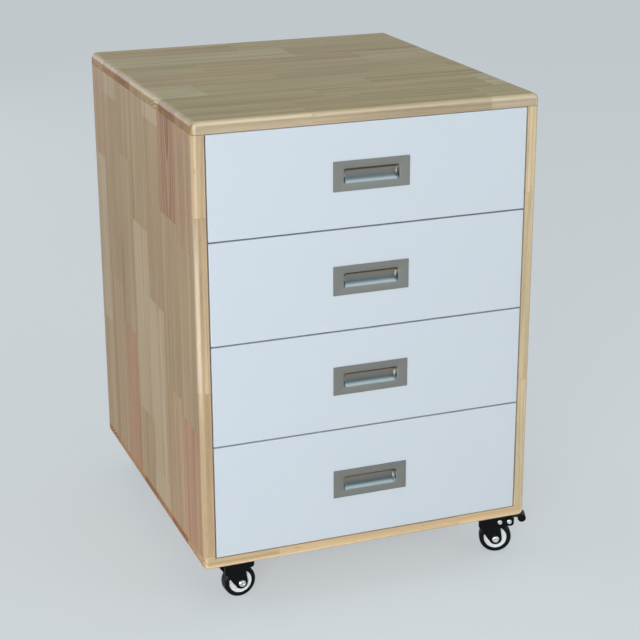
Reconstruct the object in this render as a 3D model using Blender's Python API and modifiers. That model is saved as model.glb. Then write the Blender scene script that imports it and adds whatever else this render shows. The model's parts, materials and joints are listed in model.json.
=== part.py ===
"""Mobile pedestal cabinet: a solid wood carcass with four drawers, on swivel casters.

Metres, +Z up, the fronts face -Y, the floor is at z = 0 and the origin lies under
the middle of the footprint, brake pedal included.
"""
import math

import bmesh
import bpy
from mathutils import Matrix, Vector

# Carcass
BODY_WIDTH = 0.500
BODY_DEPTH = 0.548
BODY_HEIGHT = 0.640
BOARD = 0.017
EDGE_ROUND = 0.005
EDGE_SEGMENTS = 3
BACK_THICKNESS = 0.006
BACK_REBATE = 0.008
FIT_GAP = 0.0003
CUT_OVERRUN = 0.010

# Drawers, counted from the top
DRAWER_COUNT = 4
BOTTOM_FRONT_EXTRA = 0.022
FRONT_GAP = 0.002
FRONT_THICKNESS = 0.016
FRONT_RECESS = 0.0005
FRONT_EDGE_ROUND = 0.0008
FRONT_EDGE_SEGMENTS = 2
BOX_ABOVE_FRONT_EDGE = 0.012
BOX_BELOW_FRONT_TOP = 0.020
BOX_WALL = 0.012
BOX_BOTTOM = 0.005
BOX_BOTTOM_GROOVE = 0.006
BOX_BOTTOM_RAISE = 0.008
BOX_BACK_CLEARANCE = 0.0255

# Flush pulls
PULL_WIDTH = 0.111
PULL_HEIGHT = 0.0415
PULL_PLATE = 0.0012
CUP_WIDTH = 0.081
CUP_HEIGHT = 0.0207
CUP_CORNER = 0.0038
CUP_WALL = 0.001
CUP_SEGMENTS = 20
CUP_CORNER_SEGMENTS = 2
POCKET_FLOOR = 0.0035
POCKET_CLEARANCE = 0.0008

# Drawer slides: a rail on the cabinet, a runner with its two ball rows on the drawer
SLIDE_SPACE = 0.0127
SLIDE_HEIGHT = 0.045
SLIDE_SHEET = 0.0012
RAIL_DEPTH = 0.0100
RUNNER_HEIGHT = 0.034
RUNNER_DEPTH = 0.0079
BALL_ROW_WIDTH = 0.003
BALL_ROW_FROM_EDGE = 0.001
BALL_GAP = 0.0005
SLIDE_ABOVE_BOX = 0.032

# Casters: plate and raceway
SWIVEL_INSET_X = 0.046
SWIVEL_INSET_Y = 0.038
PLATE_LENGTH = 0.060
PLATE_BREADTH = 0.046
PLATE_THICKNESS = 0.0022
PLATE_CORNER = 0.006
RACE_RADIUS = 0.0205
RACE_HEIGHT = 0.0037
RACE_LIP = 0.0012
KINGPIN_RADIUS = 0.004
KINGPIN_HEAD_RADIUS = 0.0075
KINGPIN_HEAD = 0.0027
TURN_SEGMENTS = 20
CORNER_STEPS = 3

# Casters: fork
FORK_SHEET = 0.0025
BRIDGE_STEP = 0.0003
FORK_DISC_RADIUS = 0.021
LEG_SHEET = 0.0022
LEG_GAP = 0.022
LEG_END_RADIUS = 0.0095
LEG_FRONT_REACH = 0.010
LEG_FRONT_DROP = 0.0155
LEG_BACK_REACH = 0.023
LEG_END_STEPS = 6

# Casters: wheel, ring and axle
WHEEL_RADIUS = 0.024
WHEEL_CLEARANCE = 0.009
TRAIL = 0.016
TYRE_WIDTH = 0.018
TYRE_ROUND = 0.0026
TYRE_ROUND_STEPS = 2
WHEEL_FACE_WIDTH = 0.016
HUB_RADIUS = 0.0085
HUB_SIDE_GAP = 0.0004
RING_OUTER_RADIUS = 0.0171
RING_SEAT = 0.0016
RING_PROUD = 0.0005
RING_BRIDGES = 3
RING_BRIDGE_RADIUS = 0.0011
BRIDGE_SEGMENTS = 6
# Two more than a multiple of four, so that each wheel stands on a facet at rest
WHEEL_SEGMENTS = 26
AXLE_RADIUS = 0.003
AXLE_HEAD_RADIUS = 0.0054
AXLE_HEAD = 0.004
AXLE_HEAD_CHAMFER = 0.0008
AXLE_SEGMENTS = 12

# Casters: ears of the fork, and brake
EAR_REACH = 0.043
PLAIN_EAR_REACH = 0.036
EAR_DROP = 0.0141
EAR_CORNER = 0.005
EAR_NECK = 0.003
BRIDGE_REACH = 0.013
PIVOT_OUT = 0.022
PIVOT_DROP = 0.008
PIVOT_RADIUS = 0.0022
STOP_OUT = 0.036
STOP_DROP = 0.007
STOP_RADIUS = 0.0018
RIVET_HEAD_RADIUS = 0.0036
RIVET_HEAD = 0.0014
RIVET_SEGMENTS = 10
PEDAL_WIDTH = 0.018
PEDAL_SHEET = 0.0022
PEDAL_HUB_RADIUS = 0.0036
PEDAL_LIFT = 0.0005
TIP_OUT = 0.0552
TIP_DROP = 0.0035
TIP_RADIUS = 0.0062
TIP_STEPS = 8
SHOE_OUT = 0.0275
SHOE_LENGTH = 0.004
SHOE_GAP = 0.003

# Casters at rest: front or rear, left or right, trail direction in degrees from +X, brake
CASTERS = (
    ("front_left", -1, -1, 5.0, False),
    ("front_right", 1, -1, -21.0, True),
    ("rear_left", -1, 1, -8.0, True),
    ("rear_right", 1, 1, 14.0, False),
)

# Places that follow from the sizes
HALF_WIDTH = BODY_WIDTH / 2
HALF_DEPTH = BODY_DEPTH / 2
OPENING_HALF_WIDTH = HALF_WIDTH - BOARD
OPENING_HEIGHT = BODY_HEIGHT - 2 * BOARD
FRONT_PITCH = (OPENING_HEIGHT - BOTTOM_FRONT_EXTRA) / DRAWER_COUNT
FORK_TOP = -(FIT_GAP + PLATE_THICKNESS + RACE_HEIGHT + FIT_GAP)
FORK_UNDERSIDE = FORK_TOP - FORK_SHEET
AXLE_Z = FORK_UNDERSIDE - WHEEL_CLEARANCE - WHEEL_RADIUS
CASTER_HEIGHT = WHEEL_RADIUS - AXLE_Z
LEG_INSIDE = LEG_GAP / 2
LEG_OUTSIDE = LEG_INSIDE + LEG_SHEET
RING_INNER_RADIUS = HUB_RADIUS + FIT_GAP
BOX_HALF_WIDTH = OPENING_HALF_WIDTH - SLIDE_SPACE
BOX_FRONT_Y = FRONT_THICKNESS + FIT_GAP
BOX_LENGTH = BODY_DEPTH - FRONT_RECESS - BOX_FRONT_Y - BACK_THICKNESS - BOX_BACK_CLEARANCE
CUP_DEPTH = FRONT_THICKNESS - POCKET_FLOOR - CUP_WALL - FIT_GAP
MERGE = 0.00001
SMOOTH_ANGLE = math.radians(38)


def pedal_overhang():
    """How far the front right brake pedal stands out past the side of the body."""
    angle = math.radians(next(turn for name, _, _, turn, _ in CASTERS if name == "front_right"))
    reach = (TIP_OUT + TIP_RADIUS) * math.cos(angle) + PEDAL_WIDTH / 2 * abs(math.sin(angle))
    return max(0, reach - SWIVEL_INSET_X)


def clear_scene():
    """Start from nothing."""
    for obj in list(bpy.data.objects):
        bpy.data.objects.remove(obj, do_unlink=True)


def collection(name):
    """A new collection in the scene."""
    made = bpy.data.collections.new(name)
    bpy.context.scene.collection.children.link(made)
    return made


def material(name, colour, roughness, metallic=0.0):
    """A Principled material."""
    made = bpy.data.materials.new(name)
    made.use_nodes = True
    shader = made.node_tree.nodes["Principled BSDF"]
    shader.inputs["Base Color"].default_value = (*colour, 1.0)
    shader.inputs["Roughness"].default_value = roughness
    shader.inputs["Metallic"].default_value = metallic
    return made


def mesh_object(name, bm, home):
    """An object in the collection home from a bmesh."""
    mesh = bpy.data.meshes.new(name)
    bm.to_mesh(mesh)
    bm.free()
    obj = bpy.data.objects.new(name, mesh)
    home.objects.link(obj)
    return obj


def box(name, low, high, home):
    """A block between two corners."""
    low, high = Vector(low), Vector(high)
    bm = bmesh.new()
    place = Matrix.Translation((low + high) / 2) @ Matrix.Diagonal((*(high - low), 1.0))
    bmesh.ops.create_cube(bm, size=1.0, matrix=place)
    return mesh_object(name, bm, home)


def cylinder(name, radius, low, high, axis, centre, segments, home):
    """A cylinder along X, Y or Z, from low to high on that axis, through centre."""
    bm = bmesh.new()
    turn = {"X": Matrix.Rotation(math.pi / 2, 4, "Y"), "Y": Matrix.Rotation(-math.pi / 2, 4, "X"),
            "Z": Matrix.Identity(4)}[axis]
    middle = Vector(centre)
    middle["XYZ".index(axis)] = (low + high) / 2
    bmesh.ops.create_cone(bm, cap_ends=True, segments=segments, radius1=radius, radius2=radius,
                          depth=high - low, matrix=Matrix.Translation(middle) @ turn)
    return mesh_object(name, bm, home)


def turned(name, profile, segments, home, closed=False):
    """A solid of revolution about Z, from (radius, height) points that run down its outer side."""
    bm = bmesh.new()
    verts = [bm.verts.new((radius, 0.0, height)) for radius, height in profile]
    for first, second in zip(verts, verts[1:] + (verts[:1] if closed else [])):
        bm.edges.new((first, second))
    obj = mesh_object(name, bm, home)
    screw = obj.modifiers.new("Turn", "SCREW")
    screw.steps = screw.render_steps = segments
    screw.use_merge_vertices = True
    screw.merge_threshold = MERGE
    return obj


def frozen(obj, weld=False):
    """The evaluated mesh of an object, which is then removed."""
    bpy.context.view_layer.update()
    depsgraph = bpy.context.evaluated_depsgraph_get()
    mesh = bpy.data.meshes.new_from_object(obj.evaluated_get(depsgraph))
    if weld:
        bm = bmesh.new()
        bm.from_mesh(mesh)
        bmesh.ops.remove_doubles(bm, verts=bm.verts, dist=MERGE)
        bmesh.ops.recalc_face_normals(bm, faces=bm.faces)
        bm.to_mesh(mesh)
        bm.free()
    bpy.data.objects.remove(obj, do_unlink=True)
    return mesh


def outline_solid(name, points, low, high, home, upright=True):
    """A flat outline made solid: upright in XZ from y = low to high, else in XY from z = low to high."""
    curve = bpy.data.curves.new(name, "CURVE")
    curve.dimensions = "2D"
    curve.fill_mode = "BOTH"
    curve.extrude = (high - low) / 2
    spline = curve.splines.new("POLY")
    spline.points.add(len(points) - 1)
    for point, (across, along) in zip(spline.points, points):
        point.co = (across, along, 0.0, 1.0)
    spline.use_cyclic_u = True
    flat = bpy.data.objects.new(name, curve)
    home.objects.link(flat)
    mesh = frozen(flat, weld=True)
    middle = (low + high) / 2
    if upright:
        mesh.transform(Matrix.Translation((0, middle, 0)) @ Matrix.Rotation(math.pi / 2, 4, "X"))
    else:
        mesh.transform(Matrix.Translation((0, 0, middle)))
    obj = bpy.data.objects.new(name, mesh)
    home.objects.link(obj)
    return obj


def arc(centre, radius, start, end, steps):
    """Points on an arc, angles in degrees, both ends included."""
    angles = [math.radians(start + (end - start) * step / steps) for step in range(steps + 1)]
    return [(centre[0] + radius * math.cos(a), centre[1] + radius * math.sin(a)) for a in angles]


def rounded_rectangle(width, height, corner, steps):
    """The outline of a rectangle about the origin with rounded corners."""
    across, along = width / 2 - corner, height / 2 - corner
    points = []
    for sx, sy, start in ((1, 1, 0), (-1, 1, 90), (-1, -1, 180), (1, -1, 270)):
        points += arc((sx * across, sy * along), corner, start, start + 90, steps)
    return points


def round_edges(obj, width, segments, chosen):
    """Round the edges for which chosen(end, other_end) holds."""
    bm = bmesh.new()
    bm.from_mesh(obj.data)
    weight = bm.edges.layers.float.new("bevel_weight_edge")
    for edge in bm.edges:
        edge[weight] = float(chosen(edge.verts[0].co, edge.verts[1].co))
    bm.to_mesh(obj.data)
    bm.free()
    bevel = obj.modifiers.new("Round", "BEVEL")
    bevel.limit_method = "WEIGHT"
    bevel.width = width
    bevel.segments = segments


def combine(obj, other, operation):
    """A Boolean of another object, which is kept as a hidden guide."""
    other.hide_render = True
    other.display_type = "WIRE"
    boolean = obj.modifiers.new(operation.title(), "BOOLEAN")
    boolean.operation = operation
    boolean.object = other


def built(obj, helpers):
    """The finished mesh of a piece, with its guides removed."""
    mesh = frozen(obj)
    for helper in helpers:
        bpy.data.objects.remove(helper, do_unlink=True)
    mesh.shade_smooth()
    mesh.set_sharp_from_angle(angle=SMOOTH_ANGLE)
    return mesh


def place(name, mesh, finish, parent, home, location=(0, 0, 0), rotation=(0, 0, 0)):
    """A named sub-part from a mesh."""
    obj = bpy.data.objects.new(name, mesh)
    home.objects.link(obj)
    return dress(obj, finish, parent, location, rotation)


def dress(obj, finish, parent, location=(0, 0, 0), rotation=(0, 0, 0)):
    """Give a sub-part its material, its parent and its place there."""
    if not obj.data.materials:
        obj.data.materials.append(finish)
    obj.parent = parent
    obj.location = location
    obj.rotation_euler = rotation
    return obj


def marker(name, parent, home, location=(0, 0, 0), rotation=(0, 0, 0)):
    """An empty that carries the pieces of one moving group."""
    empty = bpy.data.objects.new(name, None)
    home.objects.link(empty)
    empty.parent = parent
    empty.location = location
    empty.rotation_euler = rotation
    return empty


def carcass(root, finishes, parts, guides):
    """Top and bottom over the full width, the sides between them, the back in a rebate."""
    inner = OPENING_HALF_WIDTH + BACK_REBATE
    rebate = box("back_rebate_cutter",
                 (-inner, HALF_DEPTH - BACK_THICKNESS - FIT_GAP, BOARD - BACK_REBATE),
                 (inner, HALF_DEPTH + CUT_OVERRUN, BODY_HEIGHT - BOARD + BACK_REBATE), guides)
    rebate.parent = root
    side_low, side_high = BOARD + FIT_GAP, BODY_HEIGHT - BOARD - FIT_GAP
    boards = (
        ("top_panel", -HALF_WIDTH, HALF_WIDTH, BODY_HEIGHT - BOARD, BODY_HEIGHT,
         lambda a, b: max(a.z, b.z) > BODY_HEIGHT - BOARD / 2),
        ("bottom_panel", -HALF_WIDTH, HALF_WIDTH, 0, BOARD,
         lambda a, b: min(a.z, b.z) < BOARD / 2),
        ("left_side_panel", -HALF_WIDTH, -OPENING_HALF_WIDTH, side_low, side_high,
         lambda a, b: max(a.x, b.x) < -HALF_WIDTH + BOARD / 2 and a.y == b.y),
        ("right_side_panel", OPENING_HALF_WIDTH, HALF_WIDTH, side_low, side_high,
         lambda a, b: min(a.x, b.x) > HALF_WIDTH - BOARD / 2 and a.y == b.y),
    )
    for name, left, right, low, high, chosen in boards:
        panel = box(name, (left, -HALF_DEPTH, low), (right, HALF_DEPTH, high), parts)
        round_edges(panel, EDGE_ROUND, EDGE_SEGMENTS, chosen)
        combine(panel, rebate, "DIFFERENCE")
        dress(panel, finishes["wood"], root)
    reach = inner - FIT_GAP
    back = box("back_panel", (-reach, HALF_DEPTH - BACK_THICKNESS, BOARD - BACK_REBATE + FIT_GAP),
               (reach, HALF_DEPTH, BODY_HEIGHT - BOARD + BACK_REBATE - FIT_GAP), parts)
    dress(back, finishes["plywood"], root)


def pull_mesh(guides):
    """A flat plate with a concave cup behind it; the plate's back is at y = 0, the front at -Y."""
    face = -PULL_PLATE
    plate = box("pull_plate", (-PULL_WIDTH / 2, face, -PULL_HEIGHT / 2),
                (PULL_WIDTH / 2, 0, PULL_HEIGHT / 2), guides)
    helpers = []
    for name, wall in (("pull_cup", CUP_WALL), ("pull_cavity", 0)):
        half = CUP_WIDTH / 2 + wall
        cup = cylinder(name, CUP_HEIGHT / 2 + wall, -half, half, "X", (0, 0, 0), CUP_SEGMENTS, guides)
        round_edges(cup, CUP_CORNER + wall, CUP_CORNER_SEGMENTS, lambda a, b: a.x * b.x > 0)
        stretch = (CUP_DEPTH + wall) / (CUP_HEIGHT / 2 + wall)
        cup.data.transform(Matrix.Diagonal((1, stretch, 1, 1)))
        helpers.append(cup)
    cup, cavity = helpers
    ahead = box("pull_ahead_cutter", (-PULL_WIDTH, -PULL_WIDTH, -PULL_WIDTH),
                (PULL_WIDTH, face / 2, PULL_WIDTH), guides)
    combine(cup, ahead, "DIFFERENCE")
    combine(plate, cup, "UNION")
    combine(plate, cavity, "DIFFERENCE")
    return built(plate, [cup, cavity, ahead])


def slide_sections():
    """Outlines of rail and runner: x from the cabinet side to the drawer, z from the slide's middle."""
    top = SLIDE_HEIGHT / 2
    shelf = top - SLIDE_SHEET
    back = FIT_GAP + SLIDE_SHEET
    rail = [(FIT_GAP, top), (RAIL_DEPTH, top), (RAIL_DEPTH, shelf), (back, shelf),
            (back, -shelf), (RAIL_DEPTH, -shelf), (RAIL_DEPTH, -top), (FIT_GAP, -top)]
    face = SLIDE_SPACE - FIT_GAP
    edge = face - RUNNER_DEPTH
    half = RUNNER_HEIGHT / 2
    row = edge + BALL_ROW_FROM_EDGE
    upper = [(face, half), (row + BALL_ROW_WIDTH, half), (row + BALL_ROW_WIDTH, shelf - BALL_GAP),
             (row, shelf - BALL_GAP), (row, half), (edge, half), (edge, half - SLIDE_SHEET),
             (face - SLIDE_SHEET, half - SLIDE_SHEET)]
    runner = upper + [(x, -z) for x, z in reversed(upper)]
    return rail, runner


def drawer(number, root, finishes, pull, parts, guides):
    """One drawer: front, pull, box, bottom and runners, with the two rails that carry it."""
    last = number == DRAWER_COUNT
    top_z = BODY_HEIGHT - BOARD - (number - 1) * FRONT_PITCH
    height = FRONT_PITCH + (BOTTOM_FRONT_EXTRA if last else 0) - FRONT_GAP
    low_z = top_z - FRONT_GAP / 2 - height
    name = f"drawer_{number}"
    face_y = FRONT_RECESS - HALF_DEPTH
    moving = marker(name, root, parts, (0, face_y, low_z))
    front_half = OPENING_HALF_WIDTH - FRONT_GAP
    front = box(f"{name}_front", (-front_half, 0, 0), (front_half, FRONT_THICKNESS, height), parts)
    round_edges(front, FRONT_EDGE_ROUND, FRONT_EDGE_SEGMENTS, lambda a, b: max(a.y, b.y) <= 0)
    pull_z = height / 2
    half_x = CUP_WIDTH / 2 + CUP_WALL + POCKET_CLEARANCE
    half_z = CUP_HEIGHT / 2 + CUP_WALL + POCKET_CLEARANCE
    pocket = box(f"{name}_pocket_cutter", (-half_x, -CUT_OVERRUN, pull_z - half_z),
                 (half_x, FRONT_THICKNESS - POCKET_FLOOR, pull_z + half_z), guides)
    pocket.parent = moving
    combine(front, pocket, "DIFFERENCE")
    dress(front, finishes["white_front"], moving)
    place(f"{name}_pull", pull, finishes["pull_metal"], moving, parts, (0, -FIT_GAP, pull_z))
    box_low = BOX_ABOVE_FRONT_EDGE
    box_high = height - BOX_BELOW_FRONT_TOP
    drawer_box(name, box_low, box_high, moving, finishes, parts, guides)
    slides(name, box_low + SLIDE_ABOVE_BOX, (root, face_y, low_z), moving, finishes, parts)


def drawer_box(name, low, high, moving, finishes, parts, guides):
    """The glued frame of a drawer, and its bottom in a groove."""
    half, wall = BOX_HALF_WIDTH, BOX_WALL
    front_y, back_y = BOX_FRONT_Y, BOX_FRONT_Y + BOX_LENGTH
    frame = box(f"{name}_box", (-half, front_y, low), (half, back_y, high), parts)
    inside = box(f"{name}_inside_cutter", (wall - half, front_y + wall, low - CUT_OVERRUN),
                 (half - wall, back_y - wall, high + CUT_OVERRUN), guides)
    deep = wall - BOX_BOTTOM_GROOVE
    groove_low = low + BOX_BOTTOM_RAISE
    groove_high = groove_low + BOX_BOTTOM
    groove = box(f"{name}_groove_cutter", (deep - half, front_y + deep, groove_low),
                 (half - deep, back_y - deep, groove_high), guides)
    for cutter in (inside, groove):
        cutter.parent = moving
        combine(frame, cutter, "DIFFERENCE")
    dress(frame, finishes["drawer_wood"], moving)
    edge = deep + FIT_GAP
    bottom = box(f"{name}_bottom", (edge - half, front_y + edge, groove_low + FIT_GAP),
                 (half - edge, back_y - edge, groove_high - FIT_GAP), parts)
    dress(bottom, finishes["plywood"], moving)


def slides(name, middle_z, fixed, moving, finishes, parts):
    """A rail on each side panel and a runner on each side of the box."""
    root, face_y, low_z = fixed
    rail, runner = slide_sections()
    low, high = BOX_FRONT_Y + FIT_GAP, BOX_FRONT_Y + BOX_LENGTH
    for side, sign in (("left", 1), ("right", -1)):
        start = -sign * OPENING_HALF_WIDTH
        for piece, section, parent in (("rail", rail, root), ("runner", runner, moving)):
            points = [(start + sign * x, z) for x, z in section]
            member = outline_solid(f"{name}_{side}_{piece}", points, low, high, parts)
            place_at = (0, face_y, low_z + middle_z) if parent is root else (0, 0, middle_z)
            dress(member, finishes["slide_steel"], parent, place_at)


def plate_mesh(guides):
    """Mounting plate, raceway, kingpin and its riveted head, below z = 0."""
    top = -FIT_GAP
    under = top - PLATE_THICKNESS
    outline = rounded_rectangle(PLATE_LENGTH, PLATE_BREADTH, PLATE_CORNER, CORNER_STEPS)
    plate = outline_solid("plate", outline, under, top, guides, upright=False)
    race_low = under - RACE_HEIGHT
    head_high = FORK_UNDERSIDE - FIT_GAP
    head_low = head_high - KINGPIN_HEAD
    profile = [(0, under + PLATE_THICKNESS / 2), (RACE_RADIUS - RACE_LIP, under + PLATE_THICKNESS / 2),
               (RACE_RADIUS - RACE_LIP, under), (RACE_RADIUS, under - RACE_LIP),
               (RACE_RADIUS, race_low + RACE_LIP), (RACE_RADIUS - RACE_LIP, race_low),
               (KINGPIN_RADIUS, race_low), (KINGPIN_RADIUS, head_high),
               (KINGPIN_HEAD_RADIUS, head_high), (KINGPIN_HEAD_RADIUS, head_high - KINGPIN_HEAD / 2),
               (KINGPIN_HEAD_RADIUS - KINGPIN_HEAD / 2, head_low), (0, head_low)]
    race = turned("race", profile, TURN_SEGMENTS, guides)
    combine(plate, race, "UNION")
    return built(plate, [race])


def touch(point, side):
    """Angle at which a line from a point meets the leg's round end, on one side or the other."""
    away = (point[0] - TRAIL, point[1] - AXLE_Z)
    turn = math.acos(LEG_END_RADIUS / math.hypot(*away))
    return math.degrees(math.atan2(away[1], away[0]) + side * turn)


def leg_outline(reach):
    """Side view of a fork leg: a wide head with an ear behind, and a round end at the axle."""
    top, low = FORK_TOP - 2 * BRIDGE_STEP, FORK_TOP - EAR_DROP
    neck = (LEG_BACK_REACH, low - EAR_NECK)
    front = (-LEG_FRONT_REACH, FORK_TOP - LEG_FRONT_DROP)
    points = [(reach, top)]
    points += arc((reach - EAR_CORNER, low + EAR_CORNER), EAR_CORNER, 0, -90, CORNER_STEPS)
    points += [(LEG_BACK_REACH + EAR_NECK, low), neck]
    points += arc((TRAIL, AXLE_Z), LEG_END_RADIUS, touch(neck, -1), touch(front, 1) - 360, LEG_END_STEPS)
    return points + [front, (-LEG_FRONT_REACH, top)]


def rivet(name, radius, at, inside, home):
    """A rivet across the fork, from ear to ear with a head on each side."""
    outer = LEG_OUTSIDE + RIVET_HEAD + inside
    head = LEG_OUTSIDE + inside
    rim = RIVET_HEAD_RADIUS - RIVET_HEAD / 2
    half = [(0, outer), (rim, outer), (RIVET_HEAD_RADIUS, outer - RIVET_HEAD / 2),
            (RIVET_HEAD_RADIUS, head), (radius, head)]
    profile = half + [(r, -z) for r, z in reversed(half)]
    pin = turned(name, profile, RIVET_SEGMENTS, home)
    pin.rotation_euler = (math.pi / 2, 0, 0)
    pin.location = (at[0], 0, at[1])
    return pin


def fork_mesh(braked, guides):
    """Disc, bridge and two legs bent from one sheet; the braked one leaves room for the pedal."""
    bridge_end = BRIDGE_REACH if braked else LEG_BACK_REACH
    half = LEG_INSIDE + LEG_SHEET / 2
    fork = box("fork", (BRIDGE_STEP - LEG_FRONT_REACH, -half, FORK_UNDERSIDE + BRIDGE_STEP),
               (bridge_end, half, FORK_TOP - BRIDGE_STEP), guides)
    outline = leg_outline(EAR_REACH if braked else PLAIN_EAR_REACH)
    joined = [outline_solid("fork_leg", outline, low, high, guides)
              for low, high in ((-LEG_OUTSIDE, -LEG_INSIDE), (LEG_INSIDE, LEG_OUTSIDE))]
    joined.append(cylinder("fork_disc", FORK_DISC_RADIUS, FORK_UNDERSIDE, FORK_TOP, "Z", (0, 0, 0),
                           TURN_SEGMENTS, guides))
    wide = LEG_OUTSIDE + CUT_OVERRUN
    cut = [cylinder("kingpin_hole", KINGPIN_RADIUS + FIT_GAP, FORK_UNDERSIDE - CUT_OVERRUN / 2,
                    FORK_TOP + CUT_OVERRUN / 2, "Z", (0, 0, 0), TURN_SEGMENTS, guides),
           cylinder("axle_hole", AXLE_RADIUS + FIT_GAP, -wide, wide, "Y", (TRAIL, 0, AXLE_Z),
                    AXLE_SEGMENTS, guides)]
    if braked:
        stop = (STOP_OUT, FORK_TOP - STOP_DROP)
        joined.append(rivet("stop_rivet", STOP_RADIUS, stop, -FIT_GAP, guides))
        cut.append(cylinder("pivot_hole", PIVOT_RADIUS + FIT_GAP, -wide, wide, "Y",
                            (PIVOT_OUT, 0, FORK_TOP - PIVOT_DROP), RIVET_SEGMENTS, guides))
    for other in joined:
        combine(fork, other, "UNION")
    for other in cut:
        combine(fork, other, "DIFFERENCE")
    return built(fork, joined + cut)


def wheel_mesh(guides):
    """A moulded wheel about Z with a hub, a seat round it on each face for the ring, and holes between."""
    hub_half = LEG_INSIDE - HUB_SIDE_GAP
    face, tyre = WHEEL_FACE_WIDTH / 2, TYRE_WIDTH / 2
    bore = AXLE_RADIUS + FIT_GAP
    upper = [(bore, hub_half), (HUB_RADIUS, hub_half), (HUB_RADIUS, face - RING_SEAT),
             (RING_OUTER_RADIUS + FIT_GAP, face - RING_SEAT), (RING_OUTER_RADIUS + FIT_GAP, tyre)]
    corners = WHEEL_RADIUS / math.cos(math.pi / WHEEL_SEGMENTS)
    upper += [(corners - TYRE_ROUND + x, tyre - TYRE_ROUND + z)
              for x, z in arc((0, 0), TYRE_ROUND, 90, 0, TYRE_ROUND_STEPS)]
    wheel = turned("wheel", upper + [(r, -z) for r, z in reversed(upper)], WHEEL_SEGMENTS, guides, closed=True)
    holes = bridges("ring_hole", RING_BRIDGE_RADIUS + FIT_GAP, face, guides)
    for hole in holes:
        combine(wheel, hole, "DIFFERENCE")
    return built(wheel, holes)


def bridges(name, radius, half, home):
    """Small rods through the wheel, evenly spaced between the two faces of the ring."""
    middle = (RING_INNER_RADIUS + RING_OUTER_RADIUS) / 2
    rods = []
    for number in range(RING_BRIDGES):
        angle = 2 * math.pi * number / RING_BRIDGES
        centre = (middle * math.cos(angle), middle * math.sin(angle), 0)
        rods.append(cylinder(name, radius, -half, half, "Z", centre, BRIDGE_SEGMENTS, home))
    return rods


def ring_mesh(guides):
    """The ring on both faces of the wheel, moulded as one piece through its holes."""
    face = WHEEL_FACE_WIDTH / 2
    low, high = face - RING_SEAT + FIT_GAP, face + RING_PROUD
    halves = []
    for bottom, top in ((low, high), (-high, -low)):
        profile = [(RING_INNER_RADIUS, top), (RING_OUTER_RADIUS, top),
                   (RING_OUTER_RADIUS, bottom), (RING_INNER_RADIUS, bottom)]
        halves.append(turned("ring", profile, WHEEL_SEGMENTS, guides, closed=True))
    ring, other = halves
    joined = [other] + bridges("ring_bridge", RING_BRIDGE_RADIUS, (low + high) / 2, guides)
    for piece in joined:
        combine(ring, piece, "UNION")
    return built(ring, joined)


def axle_mesh(guides):
    """A bolt about Z with a head and a nut of one shape."""
    seat = LEG_OUTSIDE + FIT_GAP
    end = seat + AXLE_HEAD
    half = [(0, end), (AXLE_HEAD_RADIUS - AXLE_HEAD_CHAMFER, end),
            (AXLE_HEAD_RADIUS, end - AXLE_HEAD_CHAMFER), (AXLE_HEAD_RADIUS, seat), (AXLE_RADIUS, seat)]
    return built(turned("axle", half + [(r, -z) for r, z in reversed(half)], AXLE_SEGMENTS, guides), [])


def pedal_mesh(guides):
    """The brake pedal about its pivot: hub, arm, shoe over the wheel, and a rolled tip."""
    pivot = Vector((PIVOT_OUT, FORK_TOP - PIVOT_DROP))
    tip = Vector((TIP_OUT, FORK_TOP - TIP_DROP)) - pivot
    top = FORK_TOP + PEDAL_LIFT - pivot.y
    arm_low = top - PEDAL_SHEET
    far = SHOE_OUT + SHOE_LENGTH
    shoe_z = AXLE_Z + math.sqrt((WHEEL_RADIUS + SHOE_GAP) ** 2 - (far - TRAIL) ** 2) - pivot.y
    points = arc((0, 0), PEDAL_HUB_RADIUS, 135, 315, CORNER_STEPS * 2)
    points += [(SHOE_OUT - pivot.x, shoe_z + SHOE_LENGTH / 2), (far - pivot.x, shoe_z),
               (far - pivot.x, arm_low)]
    below = math.degrees(math.asin((tip.y - arm_low) / TIP_RADIUS))
    above = math.degrees(math.asin((top - tip.y) / TIP_RADIUS))
    points += arc(tuple(tip), TIP_RADIUS, below - 180, 180 - above, TIP_STEPS)
    points += [(PEDAL_HUB_RADIUS / 2, top)]
    half = PEDAL_WIDTH / 2
    pedal = outline_solid("pedal", points, -half, half, guides)
    pin = rivet("pivot_rivet", PIVOT_RADIUS, (0, 0), FIT_GAP, guides)
    combine(pedal, pin, "UNION")
    return built(pedal, [pin])


def casters(root, finishes, parts, guides):
    """Four casters: each a fixed plate, a swivelling fork, a rolling wheel and, on two, a pedal."""
    plate, axle = plate_mesh(guides), axle_mesh(guides)
    wheel, ring = wheel_mesh(guides), ring_mesh(guides)
    forks = {braked: fork_mesh(braked, guides) for braked in (False, True)}
    pedal = pedal_mesh(guides)
    lay_down = (math.pi / 2, 0, 0)
    for name, side_x, side_y, turn, braked in CASTERS:
        at = (side_x * (HALF_WIDTH - SWIVEL_INSET_X), side_y * (HALF_DEPTH - SWIVEL_INSET_Y), 0)
        place(f"{name}_caster_plate", plate, finishes["black_metal"], root, parts, at)
        swivel = marker(f"{name}_swivel", root, parts, at, (0, 0, math.radians(turn)))
        place(f"{name}_fork", forks[braked], finishes["black_metal"], swivel, parts)
        spin = marker(f"{name}_spin", swivel, parts, (TRAIL, 0, AXLE_Z))
        place(f"{name}_axle", axle, finishes["bright_metal"], swivel, parts, spin.location, lay_down)
        place(f"{name}_wheel", wheel, finishes["wheel_black"], spin, parts, rotation=lay_down)
        place(f"{name}_ring", ring, finishes["ring_white"], spin, parts, rotation=lay_down)
        if braked:
            hinge = marker(f"{name}_brake", swivel, parts, (PIVOT_OUT, 0, FORK_TOP - PIVOT_DROP))
            place(f"{name}_brake_pedal", pedal, finishes["black_metal"], hinge, parts)


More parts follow.
